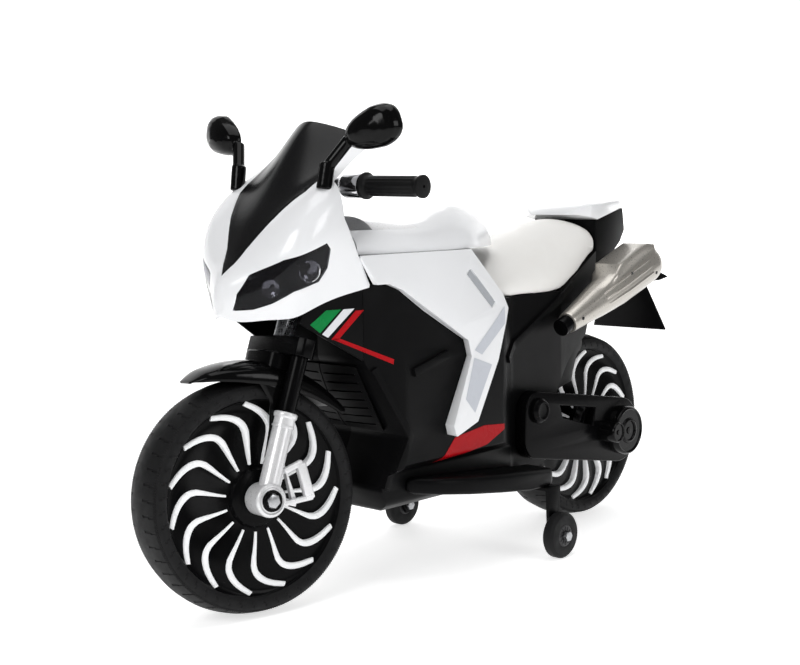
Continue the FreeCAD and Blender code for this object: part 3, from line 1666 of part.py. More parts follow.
def swingarms():
    width = dims.arm_outer - dims.arm_inner
    pivot = V(dims.arm_pivot_x, dims.arm_inner, dims.arm_pivot_z)
    axle = V(dims.rear_axle_x, dims.arm_inner, dims.wheel_radius)
    along = (axle - pivot).normalize()
    up = V(along.z, 0, -along.x)
    if up.z < 0:
        up = up * -1
    heel = pivot - V(0, 0, dims.arm_heel_drop)
    rounds = ((pivot, dims.arm_pivot_radius), (axle, dims.arm_end_radius), (heel, dims.arm_heel_radius))
    corners = [pivot + up * dims.arm_pivot_radius, axle + up * dims.arm_end_radius]
    corners += [axle - up * dims.arm_end_radius, heel - up * dims.arm_heel_radius]
    corners += [heel + V(dims.arm_heel_radius, 0, 0), pivot + V(dims.arm_pivot_radius, 0, 0)]
    shape = Part.Face(Part.makePolygon(corners + corners[:1])).extrude(V(0, width, 0))
    for centre, radius in rounds:
        shape = shape.fuse(Part.makeCylinder(radius, width, centre, V(0, 1, 0)))
    reach = (axle - pivot).Length
    window_shares = ((0.24, 1.0), (0.66, 1.0), (0.66, -0.15), (0.3, -0.15))
    window = []
    for share, rise_share in window_shares:
        radius = dims.arm_pivot_radius + (dims.arm_end_radius - dims.arm_pivot_radius) * share
        window.append(pivot + along * (reach * share) + up * (rise_share * (radius - dims.arm_bar)))
    opening = Part.Face(Part.makePolygon(window + window[:1])).extrude(V(0, width, 0))
    hole = Part.makeCylinder(dims.axle_radius, width, axle, V(0, 1, 0))
    arm = shape.cut(opening).cut(hole).removeSplitter()
    left = keep(feature("arm_plate", arm), "swingarm_left")
    mirrored(left, "swingarm_right")

    begin = s.hub_half_width + s.gear_gap
    case_end = begin + s.gear_case_width
    case = [
        (s.axle_radius, begin),
        (s.gear_case_radius, begin),
        (s.gear_case_radius, case_end),
        (s.motor_radius, case_end),
        (s.motor_radius, s.arm_inner),
        (s.axle_radius, s.arm_inner),
    ]
    motor = revolved("gear_motor", case)
    bind_base(motor, (s.rear_axle_x, zero, s.wheel_radius))
    paired(motor, "gear_motors")

    def dished_cap(radius, height, x, z):
        base = V(x, dims.arm_outer, z)
        bevel = height * cap_bevel_share
        cap = Part.makeCylinder(radius, height - bevel, base, V(0, 1, 0))
        cone = Part.makeCone(radius, radius - bevel, bevel, base + V(0, height - bevel, 0), V(0, 1, 0))
        dish_base = base + V(0, height - bevel / 2, 0)
        dish = Part.makeCylinder(radius * cap_dish_share, bevel, dish_base, V(0, 1, 0))
        cap = cap.fuse(cone).cut(dish).removeSplitter()
        return [cap, cap.mirror(V(0, 0, 0), V(0, 1, 0))]

    ends = dished_cap(dims.end_cap_radius, dims.end_cap_height, dims.rear_axle_x, dims.wheel_radius)
    start = V(dims.rear_axle_x, -dims.arm_outer, dims.wheel_radius)
    rod = Part.makeCylinder(dims.axle_radius, dims.arm_outer * 2, start, V(0, 1, 0))
    keep(feature("rear_axle_whole", rod.multiFuse(ends).removeSplitter()), "rear_axle")
    knobs = dished_cap(dims.pivot_cap_radius, dims.pivot_cap_height, dims.arm_pivot_x, dims.arm_pivot_z)
    keep(feature("pivot_cap_pair", Part.makeCompound(knobs)), "pivot_caps")


# Outline of a mirror head seen from behind, from its inner end, as shares of its length and height.
mirror_shares = (
    (0.0, 0.3),
    (0.1, 0.66),
    (0.84, 1.0),
    (1.0, 0.84),
    (1.0, 0.46),
    (0.42, 0.0),
    (0.08, 0.04),
)
mirror_glass_share = 0.6
mirror_round_share = 0.9
mirror_stem_shares = (0.14, 0.3)
mirror_foot_share = 1.4


def mirrors():
    inner_y = dims.mirror_head_y - dims.mirror_length / 2
    low_z = dims.mirror_head_z - dims.mirror_height / 2
    corners = []
    for along, up in mirror_shares:
        corners.append((inner_y + dims.mirror_length * along, low_z + dims.mirror_height * up))
    wire = rounded(corners, dims.mirror_glass_rim, section)
    face = Part.Face(wire)
    face.translate(V(dims.mirror_head_x - dims.mirror_depth / 2, 0, 0))
    head = face.extrude(V(dims.mirror_depth, 0, 0))
    glass_wire = wire.makeOffset2D(-dims.mirror_glass_rim * mirror_glass_share, 2)
    glass_face = Part.Face(glass_wire)
    glass_face.translate(V(dims.mirror_head_x - dims.mirror_depth / 2, 0, 0))
    glass = glass_face.extrude(V(dims.mirror_glass_wall, 0, 0))
    front_edges = [edge for edge in head.Edges if edge.BoundBox.XMin > dims.mirror_head_x]
    head = head.makeFillet(dims.mirror_glass_rim * mirror_round_share, front_edges)
    head = head.cut(glass)
    base = V(dims.mirror_base_x, dims.mirror_base_y, dims.mirror_base_z)
    target_y = inner_y + dims.mirror_length * mirror_stem_shares[0]
    target = V(dims.mirror_head_x, target_y, low_z + dims.mirror_height * mirror_stem_shares[1])
    along = target - base
    stem = Part.makeCylinder(dims.mirror_stem_radius, along.Length, base, along)
    foot_reach = dims.mirror_base_height * 2 * mirror_foot_share
    foot_axis = along.normalize()
    foot_base = base - foot_axis * (foot_reach / 2)
    foot = Part.makeCone(
        dims.mirror_base_radius, dims.mirror_stem_radius, foot_reach, foot_base, foot_axis
    )
    shape = head.fuse(stem).fuse(foot).cut(hull(fairing_stations())).removeSplitter()
    shape = max(shape.Solids, key=lambda solid: solid.Volume)
    paired(feature("mirror_whole", shape), "mirrors")
    glasses = Part.makeCompound([glass, glass.mirror(V(0, 0, 0), V(0, 1, 0))])
    keep(feature("mirror_glass_pair", glasses), "mirror_glasses")


def inner_pieces():
    floor = s.belly_height + s.body_wall
    battery = block(
        "battery_case",
        (s.battery_length, s.battery_width, s.battery_height),
        (s.battery_x - s.battery_length * half_share, -s.battery_width * half_share, floor),
    )
    keep(battery, "battery")
    box = block(
        "control_case",
        (s.control_box_length, s.control_box_width, s.control_box_height),
        (
            s.battery_x - s.control_box_length * half_share,
            -s.control_box_width * half_share,
            floor + s.battery_height,
        ),
    )
    keep(box, "control_box")
    bore = s.socket_bore_radius
    flange = s.socket_flange_wall
    profile = [
        (bore, flange),
        (s.socket_flange_radius, flange),
        (s.socket_flange_radius, zero),
        (s.socket_radius, zero),
        (s.socket_radius, flange - s.socket_length),
        (zero, flange - s.socket_length),
        (zero, flange - s.socket_bore_depth),
        (bore, flange - s.socket_bore_depth),
    ]
    socket = revolved("socket_turned", profile)
    socket.Placement = FreeCAD.Placement(
        V(dims.socket_x, -dims.arm_seat_half_width, socket_height()), FreeCAD.Rotation(V(0, 0, 1), 180)
    )
    keep(socket, "charge_socket")


front_wheel()
rear_wheel()
fork()
fork_crown()
front_fender()
handlebar()
steering_head()
body_shells()
cowls()
grille()
fairing()
tank_and_dash()
side_panels()
footboards()
training_wheels()
seat()
tail()
exhausts()
plate_flap()
indicators()
swingarms()
mirrors()
inner_pieces()

doc.recompute()
failed = [item.Name for item in doc.Objects if {"Invalid", "Error"} & set(item.State)]
failed += [node.Label for node in nodes if node.Shape.isNull() or not node.Shape.isValid()]
if failed:
    raise RuntimeError("not built: " + ", ".join(failed))
os.makedirs("parts", exist_ok=True)
for node in nodes:
    node.Shape.exportStep(f"parts/{node.Label}.step")
print(len(nodes), "nodes written")
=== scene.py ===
import bpy
import json
import math
from mathutils import Matrix, Vector
from mathutils.bvhtree import BVHTree


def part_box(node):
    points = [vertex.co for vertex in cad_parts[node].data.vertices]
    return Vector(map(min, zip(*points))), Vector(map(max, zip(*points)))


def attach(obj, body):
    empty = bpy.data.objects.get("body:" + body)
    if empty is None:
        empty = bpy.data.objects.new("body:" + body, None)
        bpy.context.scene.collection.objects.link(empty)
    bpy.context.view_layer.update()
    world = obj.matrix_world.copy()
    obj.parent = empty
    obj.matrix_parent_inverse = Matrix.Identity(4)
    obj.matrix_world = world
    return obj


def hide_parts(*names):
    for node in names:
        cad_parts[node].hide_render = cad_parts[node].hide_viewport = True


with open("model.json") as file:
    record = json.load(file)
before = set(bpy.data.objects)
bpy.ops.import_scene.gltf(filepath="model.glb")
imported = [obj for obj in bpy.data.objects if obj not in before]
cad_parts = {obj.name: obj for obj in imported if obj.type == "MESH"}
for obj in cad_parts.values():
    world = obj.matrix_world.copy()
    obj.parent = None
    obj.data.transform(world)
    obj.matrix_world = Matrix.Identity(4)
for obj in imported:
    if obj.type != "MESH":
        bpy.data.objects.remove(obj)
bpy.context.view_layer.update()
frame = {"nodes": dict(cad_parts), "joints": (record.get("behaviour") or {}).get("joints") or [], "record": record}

mm = 0.001
weldMm = 0.02
record = frame["record"]
bodyOf = {node: body for body, nodes in record["behaviour"]["bodies"].items() for node in nodes}
slotOf = {part["node"]: part["material_slot"] for part in record["subparts"]}


def deselectAll():
    bpy.ops.object.select_all(action="DESELECT")


def pick(obj):
    deselectAll()
    obj.select_set(True)
    bpy.context.view_layer.objects.active = obj


def editAll(obj):
    # Edit mode with the whole mesh chosen.
    pick(obj)
    bpy.ops.object.mode_set(mode="EDIT")
    bpy.ops.mesh.select_all(action="SELECT")


def editDone():
    bpy.ops.object.mode_set(mode="OBJECT")


def applied(obj, kind, settings):
    pick(obj)
    modifier = obj.modifiers.new(kind.lower(), kind)
    for name, value in settings.items():
        setattr(modifier, name, value)
    bpy.ops.object.modifier_apply(modifier=modifier.name)


def bevelled(obj, widthMm, angle=34, segments=3):
    applied(obj, "BEVEL", {
        "width": widthMm * mm, "segments": segments,
        "limit_method": "ANGLE", "angle_limit": math.radians(angle)})


def smoothed(obj, angle=32):
    pick(obj)
    bpy.ops.object.shade_smooth_by_angle(angle=math.radians(angle))


def finished(obj, material, body, replaced=()):
    obj.data.materials.clear()
    obj.data.materials.append(material)
    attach(obj, body)
    if replaced:
        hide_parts(*replaced)


def linear(text):
    # A colour written as sRGB hex, as the shaders want it.
    parts = [int(text[i:i + 2], 16) / 255 for i in (0, 2, 4)]
    return tuple(c / 12.92 if c <= 0.04045 else ((c + 0.055) / 1.055) ** 2.4 for c in parts) + (1.0,)


def addNode(tree, kind, settings, inputs):
    node = tree.nodes.new(kind)
    for name, value in settings.items():
        setattr(node, name, value)
    for name, value in inputs.items():
        socket = node.inputs[name]
        if isinstance(value, bpy.types.NodeSocket):
            tree.links.new(value, socket)
        else:
            socket.default_value = value
    return node


def mouldedFinish(name, look):
    # Two close tones in broad patches, a roughness that wanders, and a fine grain in the surface.
    material = bpy.data.materials.new(name)
    material.use_nodes = True
    tree = material.node_tree
    tree.nodes.clear()
    place = addNode(tree, "ShaderNodeTexCoord", {}, {}).outputs["Object"]
    patches = addNode(tree, "ShaderNodeTexNoise", {}, {
        "Vector": place, "Scale": 1 / (look["patchMm"] * mm), "Detail": 3.0, "Roughness": 0.5})
    # A mix of colours has them on its sockets 6 and 7, and gives its result on 2.
    tone = addNode(tree, "ShaderNodeMix", {"data_type": "RGBA"}, {
        "Factor": patches.outputs["Fac"], 6: linear(look["tones"][0]), 7: linear(look["tones"][1])})
    wear = addNode(tree, "ShaderNodeMapRange", {}, {
        "Value": patches.outputs["Fac"], "From Min": 0.3, "From Max": 0.7,
        "To Min": look["rough"][0], "To Max": look["rough"][1]})
    grain = addNode(tree, "ShaderNodeTexNoise", {}, {
        "Vector": place, "Scale": 1 / (look["grainMm"] * mm), "Detail": 2.0, "Roughness": 0.6})
    bump = addNode(tree, "ShaderNodeBump", {}, {
        "Height": grain.outputs["Fac"], "Strength": look["grain"], "Distance": look["grainMm"] * mm * 0.4})
    shader = addNode(tree, "ShaderNodeBsdfPrincipled", {}, {
        "Base Color": tone.outputs[2], "Roughness": wear.outputs["Result"], "Normal": bump.outputs["Normal"],
        "Specular IOR Level": look.get("shine", 0.5), "Metallic": look.get("metal", 0.0),
        "Coat Weight": look.get("coat", 0.0), "Coat Roughness": 0.05,
        "Transmission Weight": look.get("clear", 0.0), "IOR": look.get("ior", 1.46),
        "Subsurface Weight": look.get("glow", 0.0), "Subsurface Radius": (0.004, 0.004, 0.004),
        "Emission Color": linear(look["tones"][0]), "Emission Strength": look.get("lit", 0.0)})
    addNode(tree, "ShaderNodeOutputMaterial", {}, {"Surface": shader.outputs["BSDF"]})
    return material


# Polished white ABS: bright and glassy, with the faint orange peel of a large moulding.
whiteAbs = mouldedFinish("Glossy white ABS, polished mould", {
    "tones": ("F7F8FA", "F3F4F6"), "patchMm": 60, "rough": (0.16, 0.22),
    "grainMm": 6, "grain": 0.02, "coat": 0.3})
# Black ABS from a lightly textured mould: soft sheen, never a mirror.
satinAbs = mouldedFinish("Satin black ABS, textured mould", {
    "tones": ("0C0C0D", "080809"), "patchMm": 45, "rough": (0.34, 0.42), "grainMm": 0.8, "grain": 0.12,
    "shine": 0.08})
# Piano black ABS: dark and wet-looking.
glossAbs = mouldedFinish("Piano black ABS, polished mould", {
    "tones": ("060607", "090909"), "patchMm": 50, "rough": (0.09, 0.15),
    "grainMm": 5, "grain": 0.02, "shine": 0.18})
# Tinted acrylic of the windscreen: deep black with a soft, even sheen.
screenAcrylic = mouldedFinish("Black tinted acrylic, formed sheet", {
    "tones": ("141415", "101011"), "patchMm": 60, "rough": (0.20, 0.26),
    "grainMm": 6, "grain": 0.01, "shine": 0.25})
# Black vacuum plating on the trays behind the headlight covers.
smokedPlate = mouldedFinish("Black chrome plated ABS, vacuum plated", {
    "tones": ("0A0A0B", "070708"), "patchMm": 20, "rough": (0.2, 0.28),
    "grainMm": 3, "grain": 0.03, "shine": 0.15})
# Smoked clear polycarbonate of the headlight covers.
smokedPc = mouldedFinish("Smoked polycarbonate, injection moulded", {
    "tones": ("9C9CA2", "94949A"), "patchMm": 40, "rough": (0.02, 0.05), "grainMm": 8, "grain": 0.01,
    "clear": 0.98, "ior": 1.2, "shine": 0.12})
# Bright vacuum plating on the lamp bowls and control housings.
platedAbs = mouldedFinish("Vacuum plated ABS, bright", {
    "tones": ("D6D6D8", "C9C9CC"), "patchMm": 30, "rough": (0.10, 0.18),
    "grainMm": 3, "grain": 0.02, "metal": 1.0})
# Silver paint: fine flake under a thin clear coat.
silverPaint = mouldedFinish("Silver paint on ABS, sprayed", {
    "tones": ("F0F0F1", "E6E6E8"), "patchMm": 2, "rough": (0.26, 0.36), "grainMm": 0.5, "grain": 0.05,
    "metal": 0.3, "coat": 0.3})
# Warm silver paint of the silencers.
champagnePaint = mouldedFinish("Champagne silver paint on ABS, sprayed", {
    "tones": ("C2BEB7", "B5B0A8"), "patchMm": 2, "rough": (0.26, 0.36), "grainMm": 0.5, "grain": 0.05,
    "metal": 0.7, "coat": 0.35})
# Semi-gloss black of the fork, the swingarm covers and the wheel discs.
darkAbs = mouldedFinish("Black ABS, semi-gloss mould", {
    "tones": ("070708", "09090A"), "patchMm": 40, "rough": (0.18, 0.26),
    "grainMm": 2, "grain": 0.04, "shine": 0.08})
# Foam rubber: dull, slightly grey where it is handled, with fine pores.
foamRubber = mouldedFinish("Foam rubber tyre, moulded", {
    "tones": ("19191A", "121213"), "patchMm": 14, "rough": (0.52, 0.66), "grainMm": 0.6, "grain": 0.25,
    "shine": 0.22})
# Milky white light guide of the wheel bars.
milkyPc = mouldedFinish("Milky polycarbonate light bar, moulded", {
    "tones": ("FAFBFC", "F3F5F7"), "patchMm": 15, "rough": (0.25, 0.33), "grainMm": 3, "grain": 0.03,
    "glow": 0.3, "lit": 0.12})
# Deep red clear acrylic.
redAcrylic = mouldedFinish("Red acrylic lamp lens, moulded", {
    "tones": ("A30B14", "8E0810"), "patchMm": 10, "rough": (0.08, 0.14),
    "grainMm": 4, "grain": 0.3, "coat": 0.6})
# Red nylon of the power rocker.
redNylon = mouldedFinish("Red nylon rocker, moulded", {
    "tones": ("C01A18", "AC1614"), "patchMm": 6, "rough": (0.28, 0.36), "grainMm": 0.8, "grain": 0.08})
# Black nylon of the small switches.
blackNylon = mouldedFinish("Black nylon switch, moulded", {
    "tones": ("1A1A1B", "141415"), "patchMm": 6, "rough": (0.32, 0.42), "grainMm": 0.6, "grain": 0.10})
# Soft grip rubber.
gripRubber = mouldedFinish("Black thermoplastic rubber grip, moulded", {
    "tones": ("101011", "0B0B0C"), "patchMm": 8, "rough": (0.42, 0.54),
    "grainMm": 0.5, "grain": 0.18, "shine": 0.2})
# Zinc plated steel of axles, bolts and the bar.
zincSteel = mouldedFinish("Zinc plated steel, turned", {
    "tones": ("B9BABC", "A6A8AB"), "patchMm": 5, "rough": (0.22, 0.36),
    "grainMm": 0.4, "grain": 0.08, "metal": 1.0})
# Charcoal polypropylene of the small hubs.
hubPp = mouldedFinish("Charcoal polypropylene hub, moulded", {
    "tones": ("2A2A2C", "222224"), "patchMm": 12, "rough": (0.36, 0.46), "grainMm": 0.8, "grain": 0.10})
# Silvered acrylic sheet of the mirrors.
mirrorSheet = mouldedFinish("Silvered acrylic mirror sheet", {
    "tones": ("E4E7E9", "DADDE0"), "patchMm": 40, "rough": (0.01, 0.03),
    "grainMm": 20, "grain": 0.005, "metal": 1.0})
# Black enamel on the motor cases and the silencers' screws.
blackEnamel = mouldedFinish("Black enamel on steel, sprayed", {
    "tones": ("141416", "1A1A1C"), "patchMm": 10, "rough": (0.24, 0.34),
    "grainMm": 1.2, "grain": 0.08, "coat": 0.2})
# Grey polypropylene of the battery and the control box.
greyPp = mouldedFinish("Grey polypropylene case, moulded", {
    "tones": ("3A3A3D", "323234"), "patchMm": 20, "rough": (0.44, 0.54), "grainMm": 0.8, "grain": 0.10})
# Soft artificial leather, warm white.
seatLeather = mouldedFinish("Warm white artificial leather, embossed", {
    "tones": ("FAF9F6", "F6F4F0"), "patchMm": 30, "rough": (0.36, 0.46), "grainMm": 1.2, "grain": 0.22})


def vinylFilm(colour, *tones):
    # Printed vinyl film of the stripes, laid on the mouldings: even and a little dull. The light grey film is
    # partly print and partly painted shade.
    return mouldedFinish(colour + " vinyl film, printed", {
        "tones": tones, "patchMm": 25, "rough": (0.24, 0.32), "grainMm": 1.5, "grain": 0.05, "shine": 0.12})


greenFilm = vinylFilm("Green", "0F8A45", "0C7A3C")
whiteFilm = vinylFilm("White", "EDEEF2", "E4E5EA")
redFilm = vinylFilm("Red", "B80F18", "A80C15")
# Light grey leg film: partly print, partly painted shade that darkens the leg's lower facets.
greyPrintAndPaintedShadeFilm = vinylFilm("Light grey painted-shade", "D0D3DA", "C8CCD4")
# Grey ABS inserted in the slots of the side panels.
greyAbs = mouldedFinish("Grey ABS insert, textured mould", {
    "tones": ("B4B7BC", "A9ACB1"), "patchMm": 10, "rough": (0.4, 0.5), "grainMm": 0.8, "grain": 0.15})
print("stage: materials")

finishOf = {
    "white_plastic": whiteAbs, "black_body_plastic": satinAbs, "black_gloss_plastic": glossAbs,
    "smoked_lens": smokedPc, "reflector_chrome": platedAbs, "silver_plastic": silverPaint,
    "champagne_plastic": champagnePaint, "dark_plastic": darkAbs, "chrome": platedAbs,
    "tyre_rubber": foamRubber, "light_bar": milkyPc, "seat_leather": seatLeather, "red_lamp": redAcrylic,
    "red_switch": redNylon, "black_switch": blackNylon, "grip_rubber": gripRubber, "steel": zincSteel,
    "hub_plastic": hubPp, "mirror_glass": mirrorSheet, "motor_case": blackEnamel, "battery_case": greyPp,
}


def mergedCopy(node, name):
    # A CAD node's triangles welded into one skin with its flat faces whole again.
    mesh = frame["nodes"][node].data.copy()
    obj = bpy.data.objects.new(name, mesh)
    bpy.context.scene.collection.objects.link(obj)
    editAll(obj)
    bpy.ops.mesh.remove_doubles(threshold=0.004 * mm)
    bpy.ops.mesh.dissolve_limited(angle_limit=math.radians(0.4))
    editDone()
    return obj


def dressed(node, bevelMm, material=None):
    # The moulded piece as made: the CAD form with its sharp edges rounded off.
    obj = mergedCopy(node, node + "Moulding")
    if bevelMm:
        bevelled(obj, bevelMm)
    smoothed(obj)
    finished(obj, material or finishOf[slotOf[node]], bodyOf[node], (node,))
    return obj


# Edge rounding of each moulding, in millimetres.
edgeMm = {
    "front_axle": 0.5, "fork_tubes": 0.4, "fork_leg_left": 1.0, "fork_leg_right": 1.0,
    "fork_crown": 1.5, "steering_column": 0, "handlebar": 0.4,
    "left_controls": 0.8, "right_controls": 0.8, "horn_button": 0.5, "steering_head": 0.8,
    "body_shell_left": 1.2, "body_shell_right": 1.2, "cowl_wings": 1.0, "windscreen": 0.5,
    "headlight_lenses": 0.3, "headlight_trays": 0.3, "front_fairing": 0.8, "tank_cover": 0.8,
    "power_rocker": 0.5, "direction_rocker": 0.5, "dashboard": 0.6,
    "footboard_left": 7.0, "footboard_right": 7.0, "training_tyre_left": 1.0,
    "training_tyre_right": 1.0, "training_hub_left": 0.8, "training_hub_right": 0.8, "training_bolts": 0.6,
    "training_brackets": 0.8, "tail_body": 2.0, "tail_lamp": 0.6, "tail_cover": 2.0,
    "exhaust_stubs": 0.8, "plate_flap": 0.8, "rear_indicators": 0, "swingarm_left": 2.0, "swingarm_right": 2.0,
    "rear_axle": 0.8, "gear_motors": 1.0, "pivot_caps": 0.8,
}
# Mouldings whose finish differs from the rest of their slot.
ownFinish = {"windscreen": screenAcrylic, "headlight_trays": smokedPlate, "rear_axle": darkAbs}
mouldings = {node: dressed(node, width, ownFinish.get(node)) for node, width in edgeMm.items()}
for node in ("battery", "control_box", "charge_socket"):
    piece = frame["nodes"][node]
    piece.data.materials.clear()
    piece.data.materials.append(finishOf[slotOf[node]])
print("stage: mouldings")


def gridPiece(name, columns, rows, spotOf, facing):
    # A grid of quads laid on a form: spotOf gives each crossing's place in millimetres.
    deselectAll()
    bpy.ops.mesh.primitive_grid_add(x_subdivisions=columns, y_subdivisions=rows, size=2)
    obj = bpy.context.object
    obj.name = name
    cells = {}
    for face in obj.data.polygons:
        column = int((face.center.x + 1) / 2 * columns)
        cells[(column, int((face.center.y + 1) / 2 * rows))] = face.index
    for vertex in obj.data.vertices:
        column = round((vertex.co.x + 1) / 2 * columns)
        row = round((vertex.co.y + 1) / 2 * rows)
        vertex.co = Vector(spotOf(column, row)) * mm
    obj.data.update()
    middle = obj.data.polygons[cells[(columns // 2, rows // 2)]]
    if middle.normal.dot(Vector(facing)) < 0:
        obj.data.flip_normals()
    return obj, cells


def insetFaces(obj, faces, widthMm, depthMm, apart=False):
    # Chosen faces drawn in from their edges and pushed out of the surface or into it.
    pick(obj)
    bpy.ops.object.mode_set(mode="EDIT")
    bpy.ops.mesh.select_mode(type="FACE")
    bpy.ops.mesh.select_all(action="DESELECT")
    editDone()
    for index in faces:
        obj.data.polygons[index].select = True
    bpy.ops.object.mode_set(mode="EDIT")
    bpy.ops.mesh.inset(thickness=widthMm * mm, depth=depthMm * mm, use_individual=apart)
    editDone()


def spunRound(obj, count):
    # One sector repeated round the sideways axis into a whole turn.
    editAll(obj)
    bpy.ops.mesh.spin(
        steps=count - 1, dupli=True, angle=math.tau * (count - 1) / count, center=(0, 0, 0), axis=(0, 1, 0))
    bpy.ops.mesh.select_all(action="SELECT")
    bpy.ops.mesh.remove_doubles(threshold=weldMm * mm)
    editDone()


def outward(obj):
    editAll(obj)
    bpy.ops.mesh.normals_make_consistent(inside=False)
    editDone()


def welded(obj):
    # Doubled points along a closing seam or at a pole made one.
    editAll(obj)
    bpy.ops.mesh.remove_doubles(threshold=weldMm * mm)
    editDone()
    outward(obj)


def joined(name, pieces):
    deselectAll()
    for piece in pieces:
        piece.select_set(True)
    bpy.context.view_layer.objects.active = pieces[0]
    if len(pieces) > 1:
        bpy.ops.object.join()
    pieces[0].name = name
    return pieces[0]


def mirroredCopy(obj):
    # The same piece on the other side of the bike or wheel, as its own mesh.
    twin = bpy.data.objects.new(obj.name + "Twin", obj.data.copy())
    bpy.context.scene.collection.objects.link(twin)
    twin.data.transform(Matrix.Scale(-1, 4, (0, 1, 0)))
    twin.data.flip_normals()
    return twin


def bothSides(name, obj):
    return joined(name, [obj, mirroredCopy(obj)])


def squared(angle, power):
    # A point on a rounded square that reaches 1 each way.
    return [math.copysign(abs(v) ** power, v) for v in (math.cos(angle), math.sin(angle))]


def between(table, at):
    # A value read from a table of (where, value) pairs.
    for (a, low), (b, high) in zip(table, table[1:]):
        if at <= b:
            return low + (high - low) * max(at - a, 0) / (b - a)
    return table[-1][1]


joints = {joint["name"]: joint for joint in frame["joints"]}
axleAcross = Vector(joints["front_wheel_spin"]["axis"]).normalized()
steerAxis = Vector(joints["steering_turn"]["axis"]).normalized()
axleAhead = axleAcross.cross(steerAxis).normalized()
steerPlace = Matrix((axleAhead, axleAcross, steerAxis)).transposed().to_4x4()
steerPlace.translation = Vector(joints["front_wheel_spin"]["pos_m"])
rearPlace = Matrix.Translation(Vector(joints["rear_wheel_spin"]["pos_m"]))

# Tyre section from bead to crown in millimetres (radius, half width), one moulding pitch of 7.5 degrees.
tyre = {
    "half": ((133, 33), (134.5, 36), (138, 38.2), (142.5, 39), (147, 38.6), (150.5, 36.4), (153, 33),
             (156, 24), (158.6, 13), (159.9, 0)),
    "pitches": 48, "columns": 12, "teethRow": 5, "toothMm": (0.25, 0.9), "markMm": 0.4, "farShift": 3,
    "notch": ((4, 3), (5, 3), (6, 2), (7, 2)), "notchDepth": -0.6,
    "groove": ((1, 6), (2, 6), (2, 7), (3, 7)), "grooveDepth": -0.9,
}


def treadedTyre(name, place):
    section = list(tyre["half"]) + [(r, -y) for r, y in reversed(tyre["half"][:-1])]
    rows = len(section) - 1
    step = math.tau / tyre["pitches"] / tyre["columns"]

    def spot(column, row):
        radius, y = section[row]
        return radius * math.cos(step * column), y, radius * math.sin(step * column)

    obj, cells = gridPiece(name, tyre["columns"], rows, spot, (1, 0, 0))
    teethRows = (tyre["teethRow"], rows - 1 - tyre["teethRow"])
    shoulder = [cells[(c, r)] for c in range(0, tyre["columns"], 2) for r in teethRows]
    insetFaces(obj, shoulder, *tyre["toothMm"], True)
    for shift, way in ((0, 1), (tyre["farShift"], -1)):
        for mark in ("notch", "groove"):
            faces = []
            for c, r in tyre[mark]:
                row = r if way > 0 else rows - 1 - r
                faces.append(cells[((c + shift) % tyre["columns"], row)])
            insetFaces(obj, faces, tyre["markMm"], tyre[mark + "Depth"])
    spunRound(obj, tyre["pitches"])
    obj.data.transform(place)
    smoothed(obj, 40)
    return obj


# Fan disc: (radius, height of the blade's edge, fall to the next blade), and the blade's turn at each radius.
disc = {
    "rows": ((8, 36, 0), (22, 36, 0), (33, 35.6, 0), (38, 33.6, 0), (40, 30, 0), (41, 27.6, 0), (46, 28, 2),
             (60, 29, 5), (75, 29.5, 6.5), (85, 29.5, 7), (93, 29.5, 7), (100, 29.5, 6.5), (106, 29.4, 6),
             (112, 29.2, 5), (118, 29, 4), (124, 28.8, 2.4), (128, 28.8, 1), (130.6, 29.4, 0), (132, 32, 0),
             (133, 33.4, 0)),
    "turnDeg": ((8, 0), (46, 0), (62, -1), (80, -2), (91, -2), (100, -0.5), (107, 2.5), (114, 7), (121, 13),
                (128, 20), (130, 21), (133, 21)),
    "blades": 15, "columns": 8,
}
# Light bar: its section runs from side to side as (share of the half width, drop below the top).
bar = {
    "from": 46, "to": 129, "stations": 26, "widths": ((46, 3.2), (70, 5.0), (92, 7.8), (108, 8.8), (129, 7.0)),
    "proud": 2.2, "foot": 0.6, "section": ((-1, 1.2), (-0.72, 0.2), (0, 0), (0.72, 0.2), (1, 1.2)),
}


def bladeAngle(radius, hook):
    return math.radians(between(disc["turnDeg"], radius)) * hook


def fanDisc(name, place, hook):
    columns = disc["columns"] + 1
    step = math.tau / disc["blades"]

    def spot(column, row):
        radius, height, fall = disc["rows"][row]
        share = min(column, disc["columns"]) / disc["columns"]
        angle = bladeAngle(radius, hook) + step * share * hook
        y = height - fall * (1 - share) if column <= disc["columns"] else height - fall
        return radius * math.cos(angle), y, radius * math.sin(angle)

    face, _ = gridPiece(name, columns, len(disc["rows"]) - 1, spot, (0, 1, 0))
    spunRound(face, disc["blades"])
    whole = bothSides(name, face)
    whole.data.transform(place)
    smoothed(whole, 28)
    return whole


def lightBars(name, place, hook):
    heights = [(r, h) for r, h, f in disc["rows"]]
    falls = [(r, f) for r, h, f in disc["rows"]]

    def centre(radius):
        angle = bladeAngle(radius, hook)
        return Vector((radius * math.cos(angle), 0, radius * math.sin(angle)))

    def spot(column, row):
        share = min(max(row - 1, 0) / (bar["stations"] - 2), 1)
        radius = bar["from"] + (bar["to"] - bar["from"]) * share
        along = (centre(radius + 1) - centre(radius - 1)).normalized()
        across = Vector((along.z, 0, -along.x))
        half = between(bar["widths"], radius) / 2
        top = between(heights, radius) + bar["proud"]
        low = between(heights, radius) - between(falls, radius) - bar["foot"]
        section = [(-1, low)] + [(out, top - drop) for out, drop in bar["section"]] + [(1, low)]
        out, high = section[column]
        ended = row in (0, bar["stations"])
        point = centre(radius) + across * (out * half)
        return point.x, low if ended else high, point.z

    face, _ = gridPiece(name, len(bar["section"]) + 1, bar["stations"], spot, (0, 1, 0))
    spunRound(face, disc["blades"])
    whole = bothSides(name, face)
    whole.data.transform(place)
    smoothed(whole, 50)
    return whole


